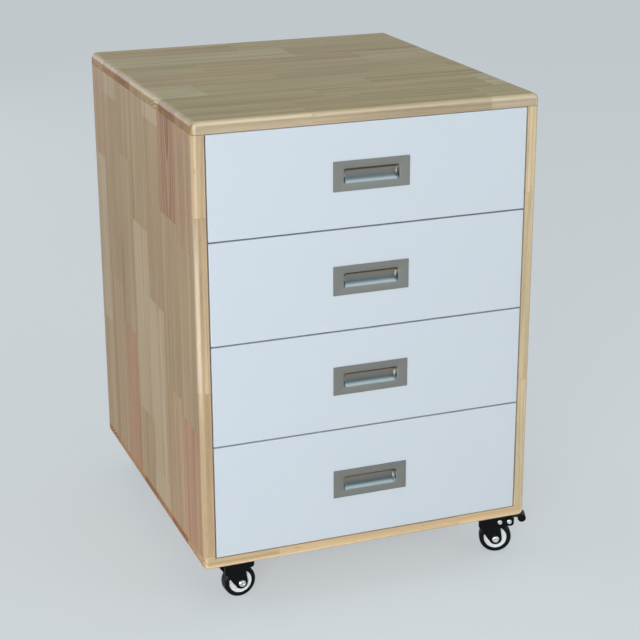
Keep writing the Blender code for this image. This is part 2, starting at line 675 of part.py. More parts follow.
def finishes_of_the_cabinet():
    """The materials, by name."""
    return {
        "wood": material("wood", (0.52, 0.36, 0.22), 0.45),
        "plywood": material("plywood", (0.55, 0.42, 0.28), 0.6),
        "drawer_wood": material("drawer_wood", (0.60, 0.46, 0.30), 0.5),
        "white_front": material("white_front", (0.80, 0.82, 0.84), 0.35),
        "pull_metal": material("pull_metal", (0.42, 0.40, 0.37), 0.32, 1.0),
        "slide_steel": material("slide_steel", (0.55, 0.55, 0.56), 0.35, 1.0),
        "black_metal": material("black_metal", (0.012, 0.012, 0.013), 0.3),
        "bright_metal": material("bright_metal", (0.65, 0.65, 0.63), 0.25, 1.0),
        "wheel_black": material("wheel_black", (0.010, 0.010, 0.011), 0.25),
        "ring_white": material("ring_white", (0.80, 0.80, 0.80), 0.4),
    }


def main():
    """Build the whole cabinet."""
    clear_scene()
    parts = collection("mobile_pedestal_cabinet")
    guides = collection("cutters")
    finishes = finishes_of_the_cabinet()
    root = marker("cabinet", None, parts, (-pedal_overhang() / 2, 0, CASTER_HEIGHT))
    carcass(root, finishes, parts, guides)
    pull = pull_mesh(guides)
    for number in range(1, DRAWER_COUNT + 1):
        drawer(number, root, finishes, pull, parts, guides)
    casters(root, finishes, parts, guides)


main()
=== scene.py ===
"""Looks of a mobile pedestal cabinet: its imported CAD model, dressed piece by piece.

Metres, in the CAD's frame: +Z up, the drawer fronts face -Y, the floor is at z = 0.
"""
import json
from math import acos, asin, atan2, cos, degrees, hypot, pi, radians, sin, sqrt

import bmesh
import bpy
from bpy.props import FloatProperty, FloatVectorProperty, PointerProperty
from mathutils import Matrix, Vector


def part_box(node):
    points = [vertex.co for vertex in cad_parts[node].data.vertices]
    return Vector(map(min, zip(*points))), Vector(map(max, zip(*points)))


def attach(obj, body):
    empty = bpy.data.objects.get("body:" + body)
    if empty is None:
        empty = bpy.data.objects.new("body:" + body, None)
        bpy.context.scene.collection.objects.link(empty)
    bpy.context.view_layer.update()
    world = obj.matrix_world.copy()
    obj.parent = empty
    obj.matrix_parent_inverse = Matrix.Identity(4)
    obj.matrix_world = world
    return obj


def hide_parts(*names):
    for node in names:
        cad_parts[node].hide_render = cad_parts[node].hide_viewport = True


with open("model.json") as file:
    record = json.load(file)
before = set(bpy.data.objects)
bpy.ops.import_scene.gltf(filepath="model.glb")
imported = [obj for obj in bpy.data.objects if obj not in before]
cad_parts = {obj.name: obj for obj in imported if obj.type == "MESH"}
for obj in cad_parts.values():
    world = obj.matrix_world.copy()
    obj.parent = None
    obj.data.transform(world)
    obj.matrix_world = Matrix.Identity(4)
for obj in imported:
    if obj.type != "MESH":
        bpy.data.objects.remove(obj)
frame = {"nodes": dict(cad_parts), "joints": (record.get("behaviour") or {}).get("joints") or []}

bl_info = {
    "name": "Mobile pedestal cabinet",
    "version": (1, 0, 0),
    "blender": (4, 5, 0),
    "location": "3D View > Sidebar > Cabinet",
    "description": "Dresses the packed model of a solid wood pedestal cabinet on casters",
    "category": "Object",
}

DRAWERS = (1, 2, 3, 4)
CASTERS = ("front_left", "front_right", "rear_left", "rear_right")
BRAKED = ("front_right", "rear_left")
SIDES = ("left", "right")
JOINTS = {joint["name"]: joint for joint in frame["joints"]}

# Meshes of all kinds
FIT_GAP = 0.0003
CUT_OVERRUN = 0.01
SMOOTH_ANGLE = radians(35)
ARRIS = 0.0004
ARRIS_STEPS = 2
ARRIS_ANGLE = radians(40)
TURN_STEPS = 64
SMALL_TURN_STEPS = 32
CORNERS = ((1, 1, 0), (-1, 1, 90), (-1, -1, 180), (1, -1, 270))
LAID_DOWN = Matrix.Rotation(pi / 2, 4, "X")

# Carcass. A board's tone and rim multiply its colour, overall and on its front and back edges; the rims of
# the top and bottom boards are painted light and sheen on those edges
BODY_LOW, BODY_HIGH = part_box("bottom_panel")[0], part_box("top_panel")[1]
BACK_LOW, BACK_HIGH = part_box("back_panel")
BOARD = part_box("bottom_panel")[1].z - BODY_LOW.z
EDGE_ROUND = 0.0082
ROUND_STEPS = 7
SIDE_STAVE_START = -0.0299
TOP_SEEDS = (2814760.0, 5710606.0, 5228161.0)
# The green in the top's tone is partly painted light: a tint of the light falling on the top from above
TOP_TONE, TOP_EDGE_LIGHT = (0.98, 1.10, 0.99), (1.14, 1.12, 1.40)
BOTTOM_SEEDS = (9.0, 9406.0, 59.0)
BOTTOM_TONE, BOTTOM_EDGE_LIGHT = (1.10, 1.03, 0.92), (1.20, 1.21, 1.20)
LEFT_SEEDS = (2539539.0, -3904284.5, 1154275.0)
LEFT_TONE = (0.98, 0.97, 0.96)
RIGHT_SEEDS = (23.0, 63117.0, 73.0)
RIGHT_TONE = (1.10, 1.14, 1.10)
BACK_PLY = 0.0012
BACK_PLY_SEED = 3.0

# Wood. Seeds, lengths and colours of the staves
EVEN = (1.0, 1.0, 1.0)
LANE_DRAW = 3.0
STAVE_SHORTEST = 0.235
STAVE_SPREAD = 0.065
STAVE_FAR = 3.0
STAVE_SHIFT = 7.0
RED_STAVE = (0.575, 0.328, 0.192)
FLAME = (0.40, 0.190, 0.105)
VEIN = (0.66, 0.52, 0.42)
END_PALE = (1.04, 0.90, 0.83)
END_DARK = (0.69, 0.43, 0.34)

# Drawer boxes
BOX_WALL = 0.012
BOX_STAVE_SHIFT = 0.031
BOX_SEEDS = (31.0, 81.0, 131.0)
BOX_TONE = (1.08, 1.10, 1.10)
FINGER_PITCH = 0.020
BOTTOM_PLY = 0.001
BOTTOM_PLY_SEED = 8.0

# Screws and their places
BACK_INSET = 0.006
BACK_SCREW_GAPS = 3
SINK_RADIUS = 0.0039
SINK_LOW_RADIUS = 0.0033
SINK_DEPTH = 0.0010
FLAT_RADIUS, FLAT_HEAD = 0.0032, 0.0006
PAN_RADIUS, PAN_HEAD, PLATE_PAN_HEAD = 0.0034, 0.0017, 0.0019
SCREW_RIM = 0.35
SCREW_DOME_STEPS = 6
CROSS_REACH, CROSS_HALF, CROSS_FLOOR = 0.55, 0.12, 0.45
SCREW_ROW = 0.018
FRONT_SCREW_X = 0.12
SLIDE_SHEET = 0.0012
SLIDE_SCREW_SHARES = (0.07, 0.36, 0.66, 0.94)

# Flush pulls
PULL_LOW, PULL_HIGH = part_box("drawer_1_pull")
PULL_WIDTH = PULL_HIGH.x - PULL_LOW.x
PULL_HEIGHT = PULL_HIGH.z - PULL_LOW.z
PULL_PLATE = 0.0012
CUP_WIDTH = 0.081
CUP_HEIGHT = 0.0207
CUP_CORNER = 0.0038
CUP_WALL = 0.0008
CUP_DEPTH = 0.0058
CUP_END_RUN = 0.003
CUP_LOW_RUN = 0.0105
CUP_HIGH_RUN = 0.0050
CUP_RINGS = 16
CUP_ROUNDEST = 0.98
CUP_CORNER_STEPS = 8
CUP_SIDE_STEPS = 10
CUP_LIP = 0.0005
CUP_LIP_STEPS = 4
# Painted reflection in the pull's cup: a cool tint low down, a warm tint high up
CUP_LOW_REFLECTION = (0.67, 0.81, 0.91)
CUP_HIGH_REFLECTION = (1.00, 0.87, 0.74)

# Casters, about the swivel axis: local X points along the trail, local Z = 0 is the body's underside
PLATE_LENGTH = 0.060
PLATE_BREADTH = 0.046
PLATE_THICKNESS = 0.0022
PLATE_CORNER = 0.006
PLATE_SCREW_X = 0.0245
PLATE_SCREW_Y = 0.0175
RACE_RADIUS = 0.0205
RACE_HEIGHT = 0.0037
RACE_LIP = 0.0014
KINGPIN_RADIUS = 0.004
KINGPIN_HEAD_RADIUS = 0.0075
KINGPIN_HEAD = 0.0026
KINGPIN_RIM = 0.0006
FORK_SHEET = 0.0025
FORK_DISC_RADIUS = 0.021
LEG_SHEET = 0.0022
LEG_INSIDE = 0.011
LEG_END_RADIUS = 0.0095
LEG_FRONT_REACH = 0.010
LEG_FRONT_DROP = 0.0155
LEG_BACK_REACH = 0.023
FORK_ARRIS = 0.0005
EAR_REACH = 0.043
PLAIN_EAR_REACH = 0.036
EAR_DROP = 0.0141
EAR_CORNER = 0.005
EAR_NECK = 0.003
BRIDGE_REACH = 0.013
BRIDGE_STEP = 0.0003
WHEEL_RADIUS = 0.024
TRAIL = 0.016
TYRE_HALF = 0.009
TYRE_ROUND = 0.0034
TYRE_BEAD = 0.0203
TREAD_RADII = (WHEEL_RADIUS - 0.0012, WHEEL_RADIUS - 0.0003)
FACE_HALF = 0.008
HUB_RADIUS = 0.0085
HUB_HALF = 0.0106
RING_OUTER = 0.0171
RING_INNER = HUB_RADIUS + FIT_GAP
RING_DISH = 0.0007
RING_SEAT = 0.0016
RING_PROUD = 0.0005
AXLE_RADIUS = 0.003
AXLE_HEAD_RADIUS = 0.0054
AXLE_HEAD = 0.004
RIVET_RADIUS = 0.0018
STOP_OUT = 0.036
STOP_DROP = 0.007
PIVOT_OUT = 0.022
PIVOT_DROP = 0.008
RIVET_HEAD_RADIUS = 0.0036
RIVET_HEAD = 0.0014
PEDAL_WIDTH = 0.018
PEDAL_SHEET = 0.0022
PEDAL_HUB_RADIUS = 0.0036
PEDAL_LIFT = 0.0005
TIP_OUT = 0.0552
TIP_DROP = 0.0035
TIP_RADIUS = 0.0062
SHOE_OUT = 0.0275
SHOE_LENGTH = 0.004
SHOE_GAP = 0.003
FORK_TOP = -(FIT_GAP + PLATE_THICKNESS + RACE_HEIGHT + FIT_GAP)
FORK_UNDERSIDE = FORK_TOP - FORK_SHEET
AXLE_Z = WHEEL_RADIUS - BODY_LOW.z
LEG_OUTSIDE = LEG_INSIDE + LEG_SHEET
MOULD_ROUND = 0.0004
HEAD_STEPS = 8
HEAD_RIM, HEAD_FLAT = 0.35, 0.62
DIMPLE = ((0.40, 1.0), (0.30, 0.86), (0, 0.82))
BRIGHT = (0.66, 0.66, 0.64)
DUST = (0.10, 0.095, 0.085)
SCUFF = (0.20, 0.18, 0.15)
ZINC_HAZE = (1.0, 0.97, 0.86)

# Camera, light and floor. A lamp has its place, width, height and share of the key light's power
CAMERA_AT = (-0.84488, -2.29162, 1.16920)
CAMERA_AHEAD = (0.33379, 0.88333, -0.32911)
CAMERA_RIGHT = (0.93489, -0.35490, -0.00437)
SENSOR = 36.0
FLOOR_SIZE = 40.0
FLOOR_EVEN = 0.5
FLOOR_LIFT = 1.16
LAMP_TARGET = (0.0, 0.0, 0.40)
LAMPS = (
    ("key_lamp", (-1.78, -3.10, 1.02), 1.7, 2.2, 0.93),
    ("fill_lamp", (2.4, -2.6, 1.3), 2.0, 2.0, 0.25),
    ("top_lamp", (0.2, 0.3, 3.0), 2.4, 2.4, 0.105),
    ("back_lamp", (-1.6, 3.0, 0.9), 2.0, 1.6, 0.20),
    ("edge_gloss_lamp", (-0.95, -0.42, 0.16), 1.1, 0.30, 0.105),
    ("rim_gloss_lamp", (0.75, -1.0, 2.7), 1.2, 2.6, 0.40),
)


def arithmetic(operation, swapped=False):
    """A method of Value that adds the node of one operation."""
    def method(self, other):
        return self.work(operation, *((other, self) if swapped else (self, other)))
    return method


class Value:
    """A socket of a node tree. Arithmetic on it adds the nodes that work it out."""

    def __init__(self, nodes, socket):
        self.nodes, self.socket = nodes, socket

    def work(self, operation, first, second):
        """The node of one operation, on vectors where either side is a vector or a colour."""
        vector = any(isinstance(side, Value) and side.socket.type in {"VECTOR", "RGBA"}
                     for side in (first, second))
        if vector:
            first, second = (side if isinstance(side, (Value, tuple)) else (side,) * 3
                             for side in (first, second))
        kind = "ShaderNodeVectorMath" if vector else "ShaderNodeMath"
        return self.nodes.node(kind, {"operation": operation}, {0: first, 1: second})

    __add__, __radd__ = arithmetic("ADD"), arithmetic("ADD", swapped=True)
    __sub__, __rsub__ = arithmetic("SUBTRACT"), arithmetic("SUBTRACT", swapped=True)
    __mul__, __rmul__ = arithmetic("MULTIPLY"), arithmetic("MULTIPLY", swapped=True)
    __truediv__ = arithmetic("DIVIDE")
    __gt__, __lt__ = arithmetic("GREATER_THAN"), arithmetic("LESS_THAN")

    def __abs__(self):
        return self.nodes.turn_into("ABSOLUTE", self)


class Nodes:
    """A node tree, written as expressions."""

    def __init__(self, tree):
        self.tree = tree

    def node(self, kind, settings=None, values=None, output=0):
        """A node of any kind: its settings first, then values or links for its sockets."""
        made = self.tree.nodes.new(kind)
        for key, value in (settings or {}).items():
            setattr(made, key, value)
        for key, value in (values or {}).items():
            socket = made.inputs[key]
            if isinstance(value, Value):
                self.tree.links.new(value.socket, socket)
            elif socket.type == "RGBA":
                socket.default_value = (*value, 1.0)
            else:
                socket.default_value = value
        return Value(self, made.outputs[output])

    def seen(self):
        """1 for rays of the camera and for those that are mirrored or let through, else 0."""
        outputs = self.node("ShaderNodeLightPath").socket.node.outputs
        camera, glossy, through = (Value(self, outputs[f"Is {kind} Ray"])
                                   for kind in ("Camera", "Glossy", "Transmission"))
        return camera + glossy + through


class Shader(Nodes):
    """The nodes of one material."""

    def __init__(self, name, **constants):
        self.material = bpy.data.materials.new(name)
        self.material.use_nodes = True
        super().__init__(self.material.node_tree)
        self.surface = self.tree.nodes["Principled BSDF"]
        for socket, value in constants.items():
            self.surface.inputs[socket.replace("_", " ")].default_value = value

    def place(self):
        """The point on the piece, in its own coordinates."""
        return self.node("ShaderNodeTexCoord", output="Object")

    def facing(self):
        """The direction that the surface faces, as three numbers."""
        return self.parts(self.node("ShaderNodeTexCoord", output="Normal"))

    def parts(self, vector):
        """The three numbers of a vector, by axis name."""
        split = self.node("ShaderNodeSeparateXYZ", values={0: vector})
        outputs = split.socket.node.outputs
        return {axis: Value(self, outputs[number]) for number, axis in enumerate("xyz")}

    def vector(self, x=0.0, y=0.0, z=0.0):
        """A vector from three numbers."""
        return self.node("ShaderNodeCombineXYZ", values={0: x, 1: y, 2: z})

    def reach(self, at):
        """How far a point is from the local Z axis."""
        part = self.parts(at)
        return self.turn_into("SQRT", part["x"] * part["x"] + part["y"] * part["y"])

    def turn_into(self, operation, *values):
        """A Math node of one operation, such as FLOOR or SQRT."""
        return self.node("ShaderNodeMath", {"operation": operation}, dict(enumerate(values)))

    def ease(self, value, low, high, start=0.0, end=1.0):
        """A smooth step from start to end while value goes from low to high."""
        return self.node("ShaderNodeMapRange", {"interpolation_type": "SMOOTHSTEP"},
                         {0: value, 1: low, 2: high, 3: start, 4: end})

    def mix(self, share, first, second):
        """Two colours mixed."""
        return self.node("ShaderNodeMix", {"data_type": "RGBA"}, {0: share, 6: first, 7: second}, output=2)

    def noise(self, at, scale=1.0, detail=2.0, roughness=0.5):
        """Smooth noise from 0 to 1."""
        return self.node("ShaderNodeTexNoise", values={"Vector": at, "Scale": scale, "Detail": detail,
                                                       "Roughness": roughness})

    def chance(self, *numbers):
        """Three even random numbers that hold for each set of whole numbers."""
        draw = self.node("ShaderNodeTexWhiteNoise", values={0: self.vector(*numbers)}, output=1)
        return self.parts(draw)

    def ramp(self, value, stops):
        """A colour from a number, between stops of a position and a colour each."""
        made = self.node("ShaderNodeValToRGB", values={0: value})
        elements = made.socket.node.color_ramp.elements
        while len(elements) < len(stops):
            elements.new(1.0)
        for element, (position, colour) in zip(elements, stops):
            element.position = position
            element.color = (*colour, 1.0)
        return made

    def dress(self, colour, roughness=None, coat=None, height=None, depth=None):
        """Send what varies over the surface to the sockets that may carry it."""
        for socket, value in (("Base Color", colour), ("Roughness", roughness), ("Coat Weight", coat)):
            if value is not None:
                self.tree.links.new(value.socket, self.surface.inputs[socket])
        if height is not None:
            bump = self.node("ShaderNodeBump", values={"Height": height, "Distance": depth})
            self.tree.links.new(bump.socket, self.surface.inputs["Normal"])
        return self.material


def length_setting(name, description, default, low, high):
    """A length for a group of settings."""
    return FloatProperty(name=name, description=description, default=default, min=low, max=high,
                         unit="LENGTH")


def colour_setting(name, description, default, high=1):
    """A colour for a group of settings."""
    return FloatVectorProperty(name=name, description=description, subtype="COLOR", default=default,
                               min=0, max=high)


class WoodLook(bpy.types.PropertyGroup):
    """Sizes and colours of the glued boards."""

    stave: length_setting("Stave width", "Width of one stave of a glued board", 0.0783, 0.02, 0.2)
    ring: length_setting("Ring spacing", "Mean distance between two growth rings", 0.0056, 0.001, 0.03)
    cream: colour_setting("Cream stave", "Colour of the palest staves", (0.636, 0.474, 0.303))
    tan: colour_setting("Tan stave", "Colour of most staves", (0.540, 0.373, 0.213))
    pink: colour_setting("Pink stave", "Colour of the rosy staves", (0.571, 0.368, 0.220))
    brown: colour_setting("Brown stave", "Colour of the darkest growth rings", (0.489, 0.292, 0.169))


class FinishLook(bpy.types.PropertyGroup):
    """Colours of the painted, plated and moulded pieces."""

    front: colour_setting("Drawer fronts", "Satin paint of the fronts", (0.637, 0.662, 0.689))
    pull: colour_setting("Pulls", "Satin plating of the pulls", (0.248, 0.242, 0.218))
    black: colour_setting("Black parts", "Coated and moulded black parts", (0.004, 0.004, 0.0045))
    ring: colour_setting("Wheel rings", "White rings of the wheels", (0.86, 0.86, 0.87))
    zinc: colour_setting("Slides", "Bright zinc of slides and screws", (0.58, 0.58, 0.58))


class StageLook(bpy.types.PropertyGroup):
    """Camera, light and floor."""

    focal: FloatProperty(name="Focal length", description="Focal length on a 36 mm wide sensor",
                         default=94.07, min=20, max=300)
    floor: colour_setting("Floor", "Colour of floor and backdrop", (0.74, 0.74, 0.73))
    ambient: FloatProperty(name="Ambient light", description="Strength of the even light",
                           default=0.40, min=0, max=3)
    key: FloatProperty(name="Key light", description="Power of the light at the front left",
                       default=85.0, min=0, max=500)
    light: colour_setting("Light colour", "Colour of the lamps and of the even light", (0.92, 1.0, 1.063), 2)


def smoothed(mesh):
    """The mesh, shaded smooth except across its sharp edges."""
    mesh.shade_smooth()
    mesh.set_sharp_from_angle(angle=SMOOTH_ANGLE)
    return mesh


def save_mesh(bm, name):
    """A smoothed mesh from a bmesh."""
    bmesh.ops.recalc_face_normals(bm, faces=bm.faces)
    mesh = bpy.data.meshes.new(name)
    bm.to_mesh(mesh)
    bm.free()
    return smoothed(mesh)


def added(name, data):
    """A new object in the scene."""
    obj = bpy.data.objects.new(name, data)
    bpy.context.scene.collection.objects.link(obj)
    return obj


def show(name, mesh, body, finish, at=None, nodes=()):
    """A finished piece that rides on a body and stands for the CAD nodes given."""
    obj = added(name, mesh)
    if at is not None:
        obj.matrix_world = at
    if finish.name not in mesh.materials:
        mesh.materials.append(finish)
    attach(obj, body)
    if nodes:
        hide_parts(*nodes)


def modified(mesh, *modifiers):
    """The mesh after modifiers, each given as its type, its settings."""
    obj = added("work", mesh)
    for kind, settings in modifiers:
        modifier = obj.modifiers.new(kind.title(), kind)
        for key, value in settings.items():
            setattr(modifier, key, value)
    bpy.context.view_layer.update()
    depsgraph = bpy.context.evaluated_depsgraph_get()
    result = bpy.data.meshes.new_from_object(obj.evaluated_get(depsgraph))
    bpy.data.objects.remove(obj, do_unlink=True)
    return result


def helper(bm, name):
    """A throwaway object for a Boolean."""
    bmesh.ops.recalc_face_normals(bm, faces=bm.faces)
    mesh = bpy.data.meshes.new(name)
    bm.to_mesh(mesh)
    bm.free()
    return added(name, mesh)


def boolean(base, others, operation):
    """A mesh cut by, or joined with, other objects, which are removed."""
    settings = [("BOOLEAN", {"operation": operation, "object": other, "solver": "EXACT"})
                for other in others]
    result = modified(base, *settings)
    for other in others:
        bpy.data.objects.remove(other, do_unlink=True)
    return result


def block(low, high):
    """A block between two corners."""
    bm = bmesh.new()
    low, high = Vector(low), Vector(high)
    place = Matrix.Translation((low + high) / 2) @ Matrix.Diagonal((*(high - low), 1.0))
    bmesh.ops.create_cube(bm, size=1.0, matrix=place)
    return bm


def skin(bm, rings):
    """Faces between one ring of points and the next. A ring of a single point is a tip."""
    for first, second in zip(rings, rings[1:]):
        for number in range(max(len(first), len(second))):
            corners = [ring[turn % len(ring)] for ring, turn in
                       ((first, number), (first, number + 1), (second, number + 1), (second, number))]
            bm.faces.new(list(dict.fromkeys(corners)))


def lathe(profile, steps, bm=None, closed=False):
    """A solid of revolution about Z from (radius, height) points; radius 0 closes an end."""
    bm = bm or bmesh.new()
    turns = [2 * pi * step / steps for step in range(steps)]
    rings = [[bm.verts.new((radius * cos(a), radius * sin(a), height))
              for a in (turns if radius else turns[:1])] for radius, height in profile]
    skin(bm, rings + rings[:1] if closed else rings)
    return bm


def arc(centre, radius, start, end, steps):
    """Points on an arc, angles in degrees, both ends included."""
    angles = [radians(start + (end - start) * step / steps) for step in range(steps + 1)]
    return [(centre[0] + radius * cos(a), centre[1] + radius * sin(a)) for a in angles]


def slab(points, low, high, upright=True):
    """An outline made solid: upright in XZ from y = low to high, else in XY from z = low to high."""
    bm = bmesh.new()
    made = []
    for level in (low, high):
        verts = [bm.verts.new((a, level, b) if upright else (a, b, level)) for a, b in points]
        made.append(bm.faces.new(verts))
    skin(bm, [face.verts[:] for face in made])
    return bm


def quarter(steps):
    """Angles over a quarter turn, both ends included."""
    return [pi / 2 * step / steps for step in range(steps + 1)]


def mirrored(profile):
    """A profile of (radius, height) points and its mirror image below."""
    return profile + [(radius, -height) for radius, height in reversed(profile)]


def caster_place(name):
    """Where a caster stands: X along its trail, Y along its axle, Z up from the body's underside."""
    side = Vector(JOINTS[f"{name}_roll"]["axis"]).normalized()
    up = Vector((0, 0, 1))
    turned = Matrix((side.cross(up), side, up)).transposed().to_4x4()
    at = JOINTS[f"{name}_swivel"]["pos_m"]
    return Matrix.Translation((at[0], at[1], BODY_LOW.z)) @ turned


def as_board(axes, start):
    """How a board lies: its grain, width and thickness axes, and where they start."""
    def lay(s, at, facing):
        along, wide, thick = (at[axis] - from_here for axis, from_here in zip(axes, start))
        return along, wide, thick, abs(facing[axes[0]])
    return lay


def as_box(s, at, facing):
    """How the walls of a drawer box lie: two run along Y and two along X, with interlocked corners."""
    low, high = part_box("drawer_1_box")
    x, y = at["x"] - (low.x + high.x) / 2, at["y"] - (low.y + high.y) / 2
    out_x = abs(x) - ((high.x - low.x) / 2 - BOX_WALL)
    out_y = abs(y) - ((high.y - low.y) / 2 - BOX_WALL)
    finger = s.turn_into("FRACT", at["z"] / FINGER_PITCH) > 0.5
    swap = (out_y > -FIT_GAP) * (1.0 - (out_x > 0.0) * (1.0 - finger))
    end_y, end_x = (abs(facing[axis]) for axis in "yx")
    along, thick, end = (first + (second - first) * swap
                         for first, second in ((y, x), (out_x, out_y), (end_y, end_x)))
    return along, at["z"] + BOX_STAVE_SHIFT * swap, thick - BOX_WALL / 2, end


def glued_wood(name, lay, seeds, tone, rim=EVEN):
    """Glued hardwood staves, cut from a trunk whose growth rings show on faces and end grain. Rounded edges
    are lightened as a painted highlight, and the rim, where it is not even, multiplies front and back edges
    as painted light and sheen.
    """
    look = bpy.context.scene.cabinet_wood
    s = Shader(name, Specular_IOR_Level=0.02, Coat_Roughness=0.18)
    facing = s.facing()
    flat = [abs(facing[axis]) for axis in "xyz"]
    along, wide, thick, end = lay(s, s.parts(s.place()), facing)
    end = s.ease(end, 0.55, 0.85)
    columns = wide / look.stave
    stave = s.turn_into("FLOOR", columns)
    inside = columns - stave
    lane = s.chance(stave, seeds[0], LANE_DRAW)
    length = STAVE_SHORTEST + STAVE_SPREAD * lane["x"]
    rows = (along + STAVE_FAR + lane["y"]) / length
    row = s.turn_into("FLOOR", rows)
    shade_draw, build, other = (s.chance(stave, row, seed) for seed in (seeds[1], seeds[2], -seeds[2]))
    figured = s.ease(build["x"], 0.80, 0.94)
    shift = s.vector(*(other[axis] * STAVE_SHIFT for axis in "xyz"))

    def grain(lengthwise, crosswise, shifted=True, **settings):
        """Noise drawn out along the grain. Where it is shifted, each stave has its own."""
        at = s.vector(along * lengthwise, wide * crosswise, thick * crosswise)
        return s.noise(at + shift if shifted else at, **settings)

    wobble, ripple = grain(3.0, 14.0), grain(9.0, 60.0)
    aside = (other["x"] > 0.5) * 2.0 - 1.0
    out = (inside - 0.5) * look.stave + aside * (0.030 + 0.080 * other["y"]) * (1.0 - 0.85 * figured)
    lean = (other["z"] - 0.5) * (0.05 + 0.13 * figured)
    under = thick + 0.020 + 0.050 * build["y"] + (rows - row - 0.5) * length * lean
    radius = s.turn_into("SQRT", out * out + under * under)
    radius = radius + (wobble - 0.5) * 0.010 + (ripple - 0.5) * 0.0018
    turn = s.turn_into("FRACT", radius / look.ring)
    line = s.ease(turn, 0.30, 0.90) * s.ease(turn, 0.90, 1.0, 1.0, 0.0)
    contrast = 0.34 + 0.66 * figured + 0.80 * end

    streak, band = grain(1.6, 90.0, detail=3.0), grain(1.1, 42.0)
    thread, cloud = grain(2.6, 230.0), grain(4.0, 16.0)
    vein = s.ease(grain(1.3, 150.0), 0.52, 0.74) * s.ease(grain(5.0, 30.0), 0.35, 0.65)
    fibre = grain(10.0, 430.0, shifted=False, detail=3.0, roughness=0.6)
    pore = s.ease(grain(65.0, 1400.0, shifted=False), 0.56, 0.70)
    dash = s.ease(grain(38.0, 330.0), 0.66, 0.78)

    cream, tan, pink, brown = (tuple(colour) for colour in (look.cream, look.tan, look.pink, look.brown))
    tint = s.ramp(shade_draw["x"], ((0.0, cream), (0.14, cream), (0.34, tan), (0.58, tan), (0.78, pink),
                                    (0.93, RED_STAVE), (1.0, RED_STAVE)))
    shade = (1.0 - 0.22 * contrast * line) * (0.70 + 0.60 * streak) * (0.90 + 0.20 * thread)
    shade = shade * (0.93 + 0.14 * fibre) * (1.0 - 0.10 * pore) * (1.0 - 0.20 * dash)
    shade = shade * (0.84 + 0.32 * cloud) * (0.86 + 0.28 * band)
    near = s.turn_into("MINIMUM", s.turn_into("MINIMUM", inside, 1.0 - inside) * look.stave,
                       s.turn_into("MINIMUM", rows - row, 1.0 + row - rows) * length)
    glue = s.ease(near, 0.0001, 0.0007, 0.86, 1.0)
    flattest = s.turn_into("MAXIMUM", s.turn_into("MAXIMUM", *flat[:2]), flat[2])
    rounded = s.ease(flattest, 0.93, 0.995, 1.0, 0.0)
    flame = s.mix(figured, brown, FLAME)
    colour = s.mix((0.60 + 0.24 * figured) * contrast * line, tint, flame) * shade * glue * tone
    # Painted light and sheen: the front and back edges are multiplied by the board's rim
    colour = s.mix(flat[1] > 0.7, colour, colour * rim)
    # Painted highlight: rounded edges are lightened by 12 percent, on top of their heavier coat
    colour = s.mix(0.65 * vein, colour, colour * VEIN) * (1.0 + 0.12 * rounded)
    cut = s.mix(s.ease(build["z"], 0.15, 0.95), END_PALE, END_DARK)
    colour = s.mix(end, colour, colour * cut)
    return s.dress(colour, roughness=0.36 + 0.12 * fibre + 0.16 * end + 0.10 * pore,
                   coat=0.12 + 0.40 * rounded, height=0.4 * fibre - pore - 0.3 * line * contrast,
                   depth=0.00012)


def times(colour, share):
    """A colour times a number, or times another colour."""
    shares = share if isinstance(share, tuple) else (share,) * 3
    return tuple(c * t for c, t in zip(colour, shares))


def plywood(name, grain, across, depth, ply, seed):
    """Rotary-cut veneer on the faces, and the plies on the edges."""
    look = bpy.context.scene.cabinet_wood
    s = Shader(name)
    at = s.parts(s.place())
    along, wide, thick = at[grain], at[across], at[depth]
    swirl = s.noise(s.vector(along * 1.6 + seed, wide * 7.0))
    turn = s.turn_into("FRACT", swirl * 14.0 + wide * 9.0)
    line = s.ease(turn, 0.5, 0.95) * s.ease(turn, 0.95, 1.0, 1.0, 0.0)
    fibre = s.noise(s.vector(along * 14.0, wide * 380.0, thick * 380.0), detail=3.0)
    face = s.mix(0.30 * line, times(look.cream, 1.08), tuple(look.tan)) * (0.88 + 0.24 * fibre)
    layer = s.turn_into("FRACT", thick / (2.0 * ply)) > 0.5
    edge = s.mix(layer, tuple(look.cream), tuple(look.brown)) * (0.85 + 0.3 * fibre)
    return s.dress(s.mix(abs(s.facing()[depth]) > 0.5, edge, face), roughness=0.55 + 0.15 * fibre,
                   height=fibre - 0.5 * line, depth=0.0001)


def satin_paint(name, colour):
    """Sprayed satin paint with a faint orange peel."""
    s = Shader(name)
    at = s.place()
    peel, cloud = s.noise(at, 420.0), s.noise(at, 6.0)
    tint = s.mix(cloud * 0.03, colour, times(colour, 0.55))
    return s.dress(tint, roughness=0.33 + 0.08 * cloud, height=peel, depth=0.00004)


def brushed_plate(name, colour):
    """Satin plating brushed along X, with a smoother pressed cup inside it. The cup's colour carries a
    painted reflection, cool below and warm above, and a painted shade band across its lower middle.
    """
    s = Shader(name, Metallic=1.0)
    at = s.parts(s.place())
    brushed = s.noise(s.vector(at["x"] * 14.0, at["y"] * 2600.0, at["z"] * 2600.0), detail=3.0)
    cloud = s.noise(s.place(), 70.0)
    inside_x, inside_z = (abs(at[axis]) < size / 2
                          for axis, size in (("x", CUP_WIDTH), ("z", CUP_HEIGHT)))
    cup = inside_x * inside_z
    high = at["z"] / CUP_HEIGHT
    # Painted reflection and shade in the cup: cool below, warm above, a darker band across the lower middle,
    # and slightly lighter above the middle
    cup_reflection = s.mix(s.ease(high, -0.15, 0.25), CUP_LOW_REFLECTION, CUP_HIGH_REFLECTION)
    band = s.ease(high, -0.42, -0.24, 0.0, 0.58) * s.ease(high, -0.22, 0.04, 1.0, -0.10)
    tint = s.mix(cup, colour, cup_reflection * colour * (1.0 - band))
    tint = tint * (0.90 + 0.14 * brushed + 0.06 * cloud)
    return s.dress(tint, roughness=0.42 + 0.16 * brushed - 0.10 * cup, height=brushed * (1.0 - cup),
                   depth=0.00005)


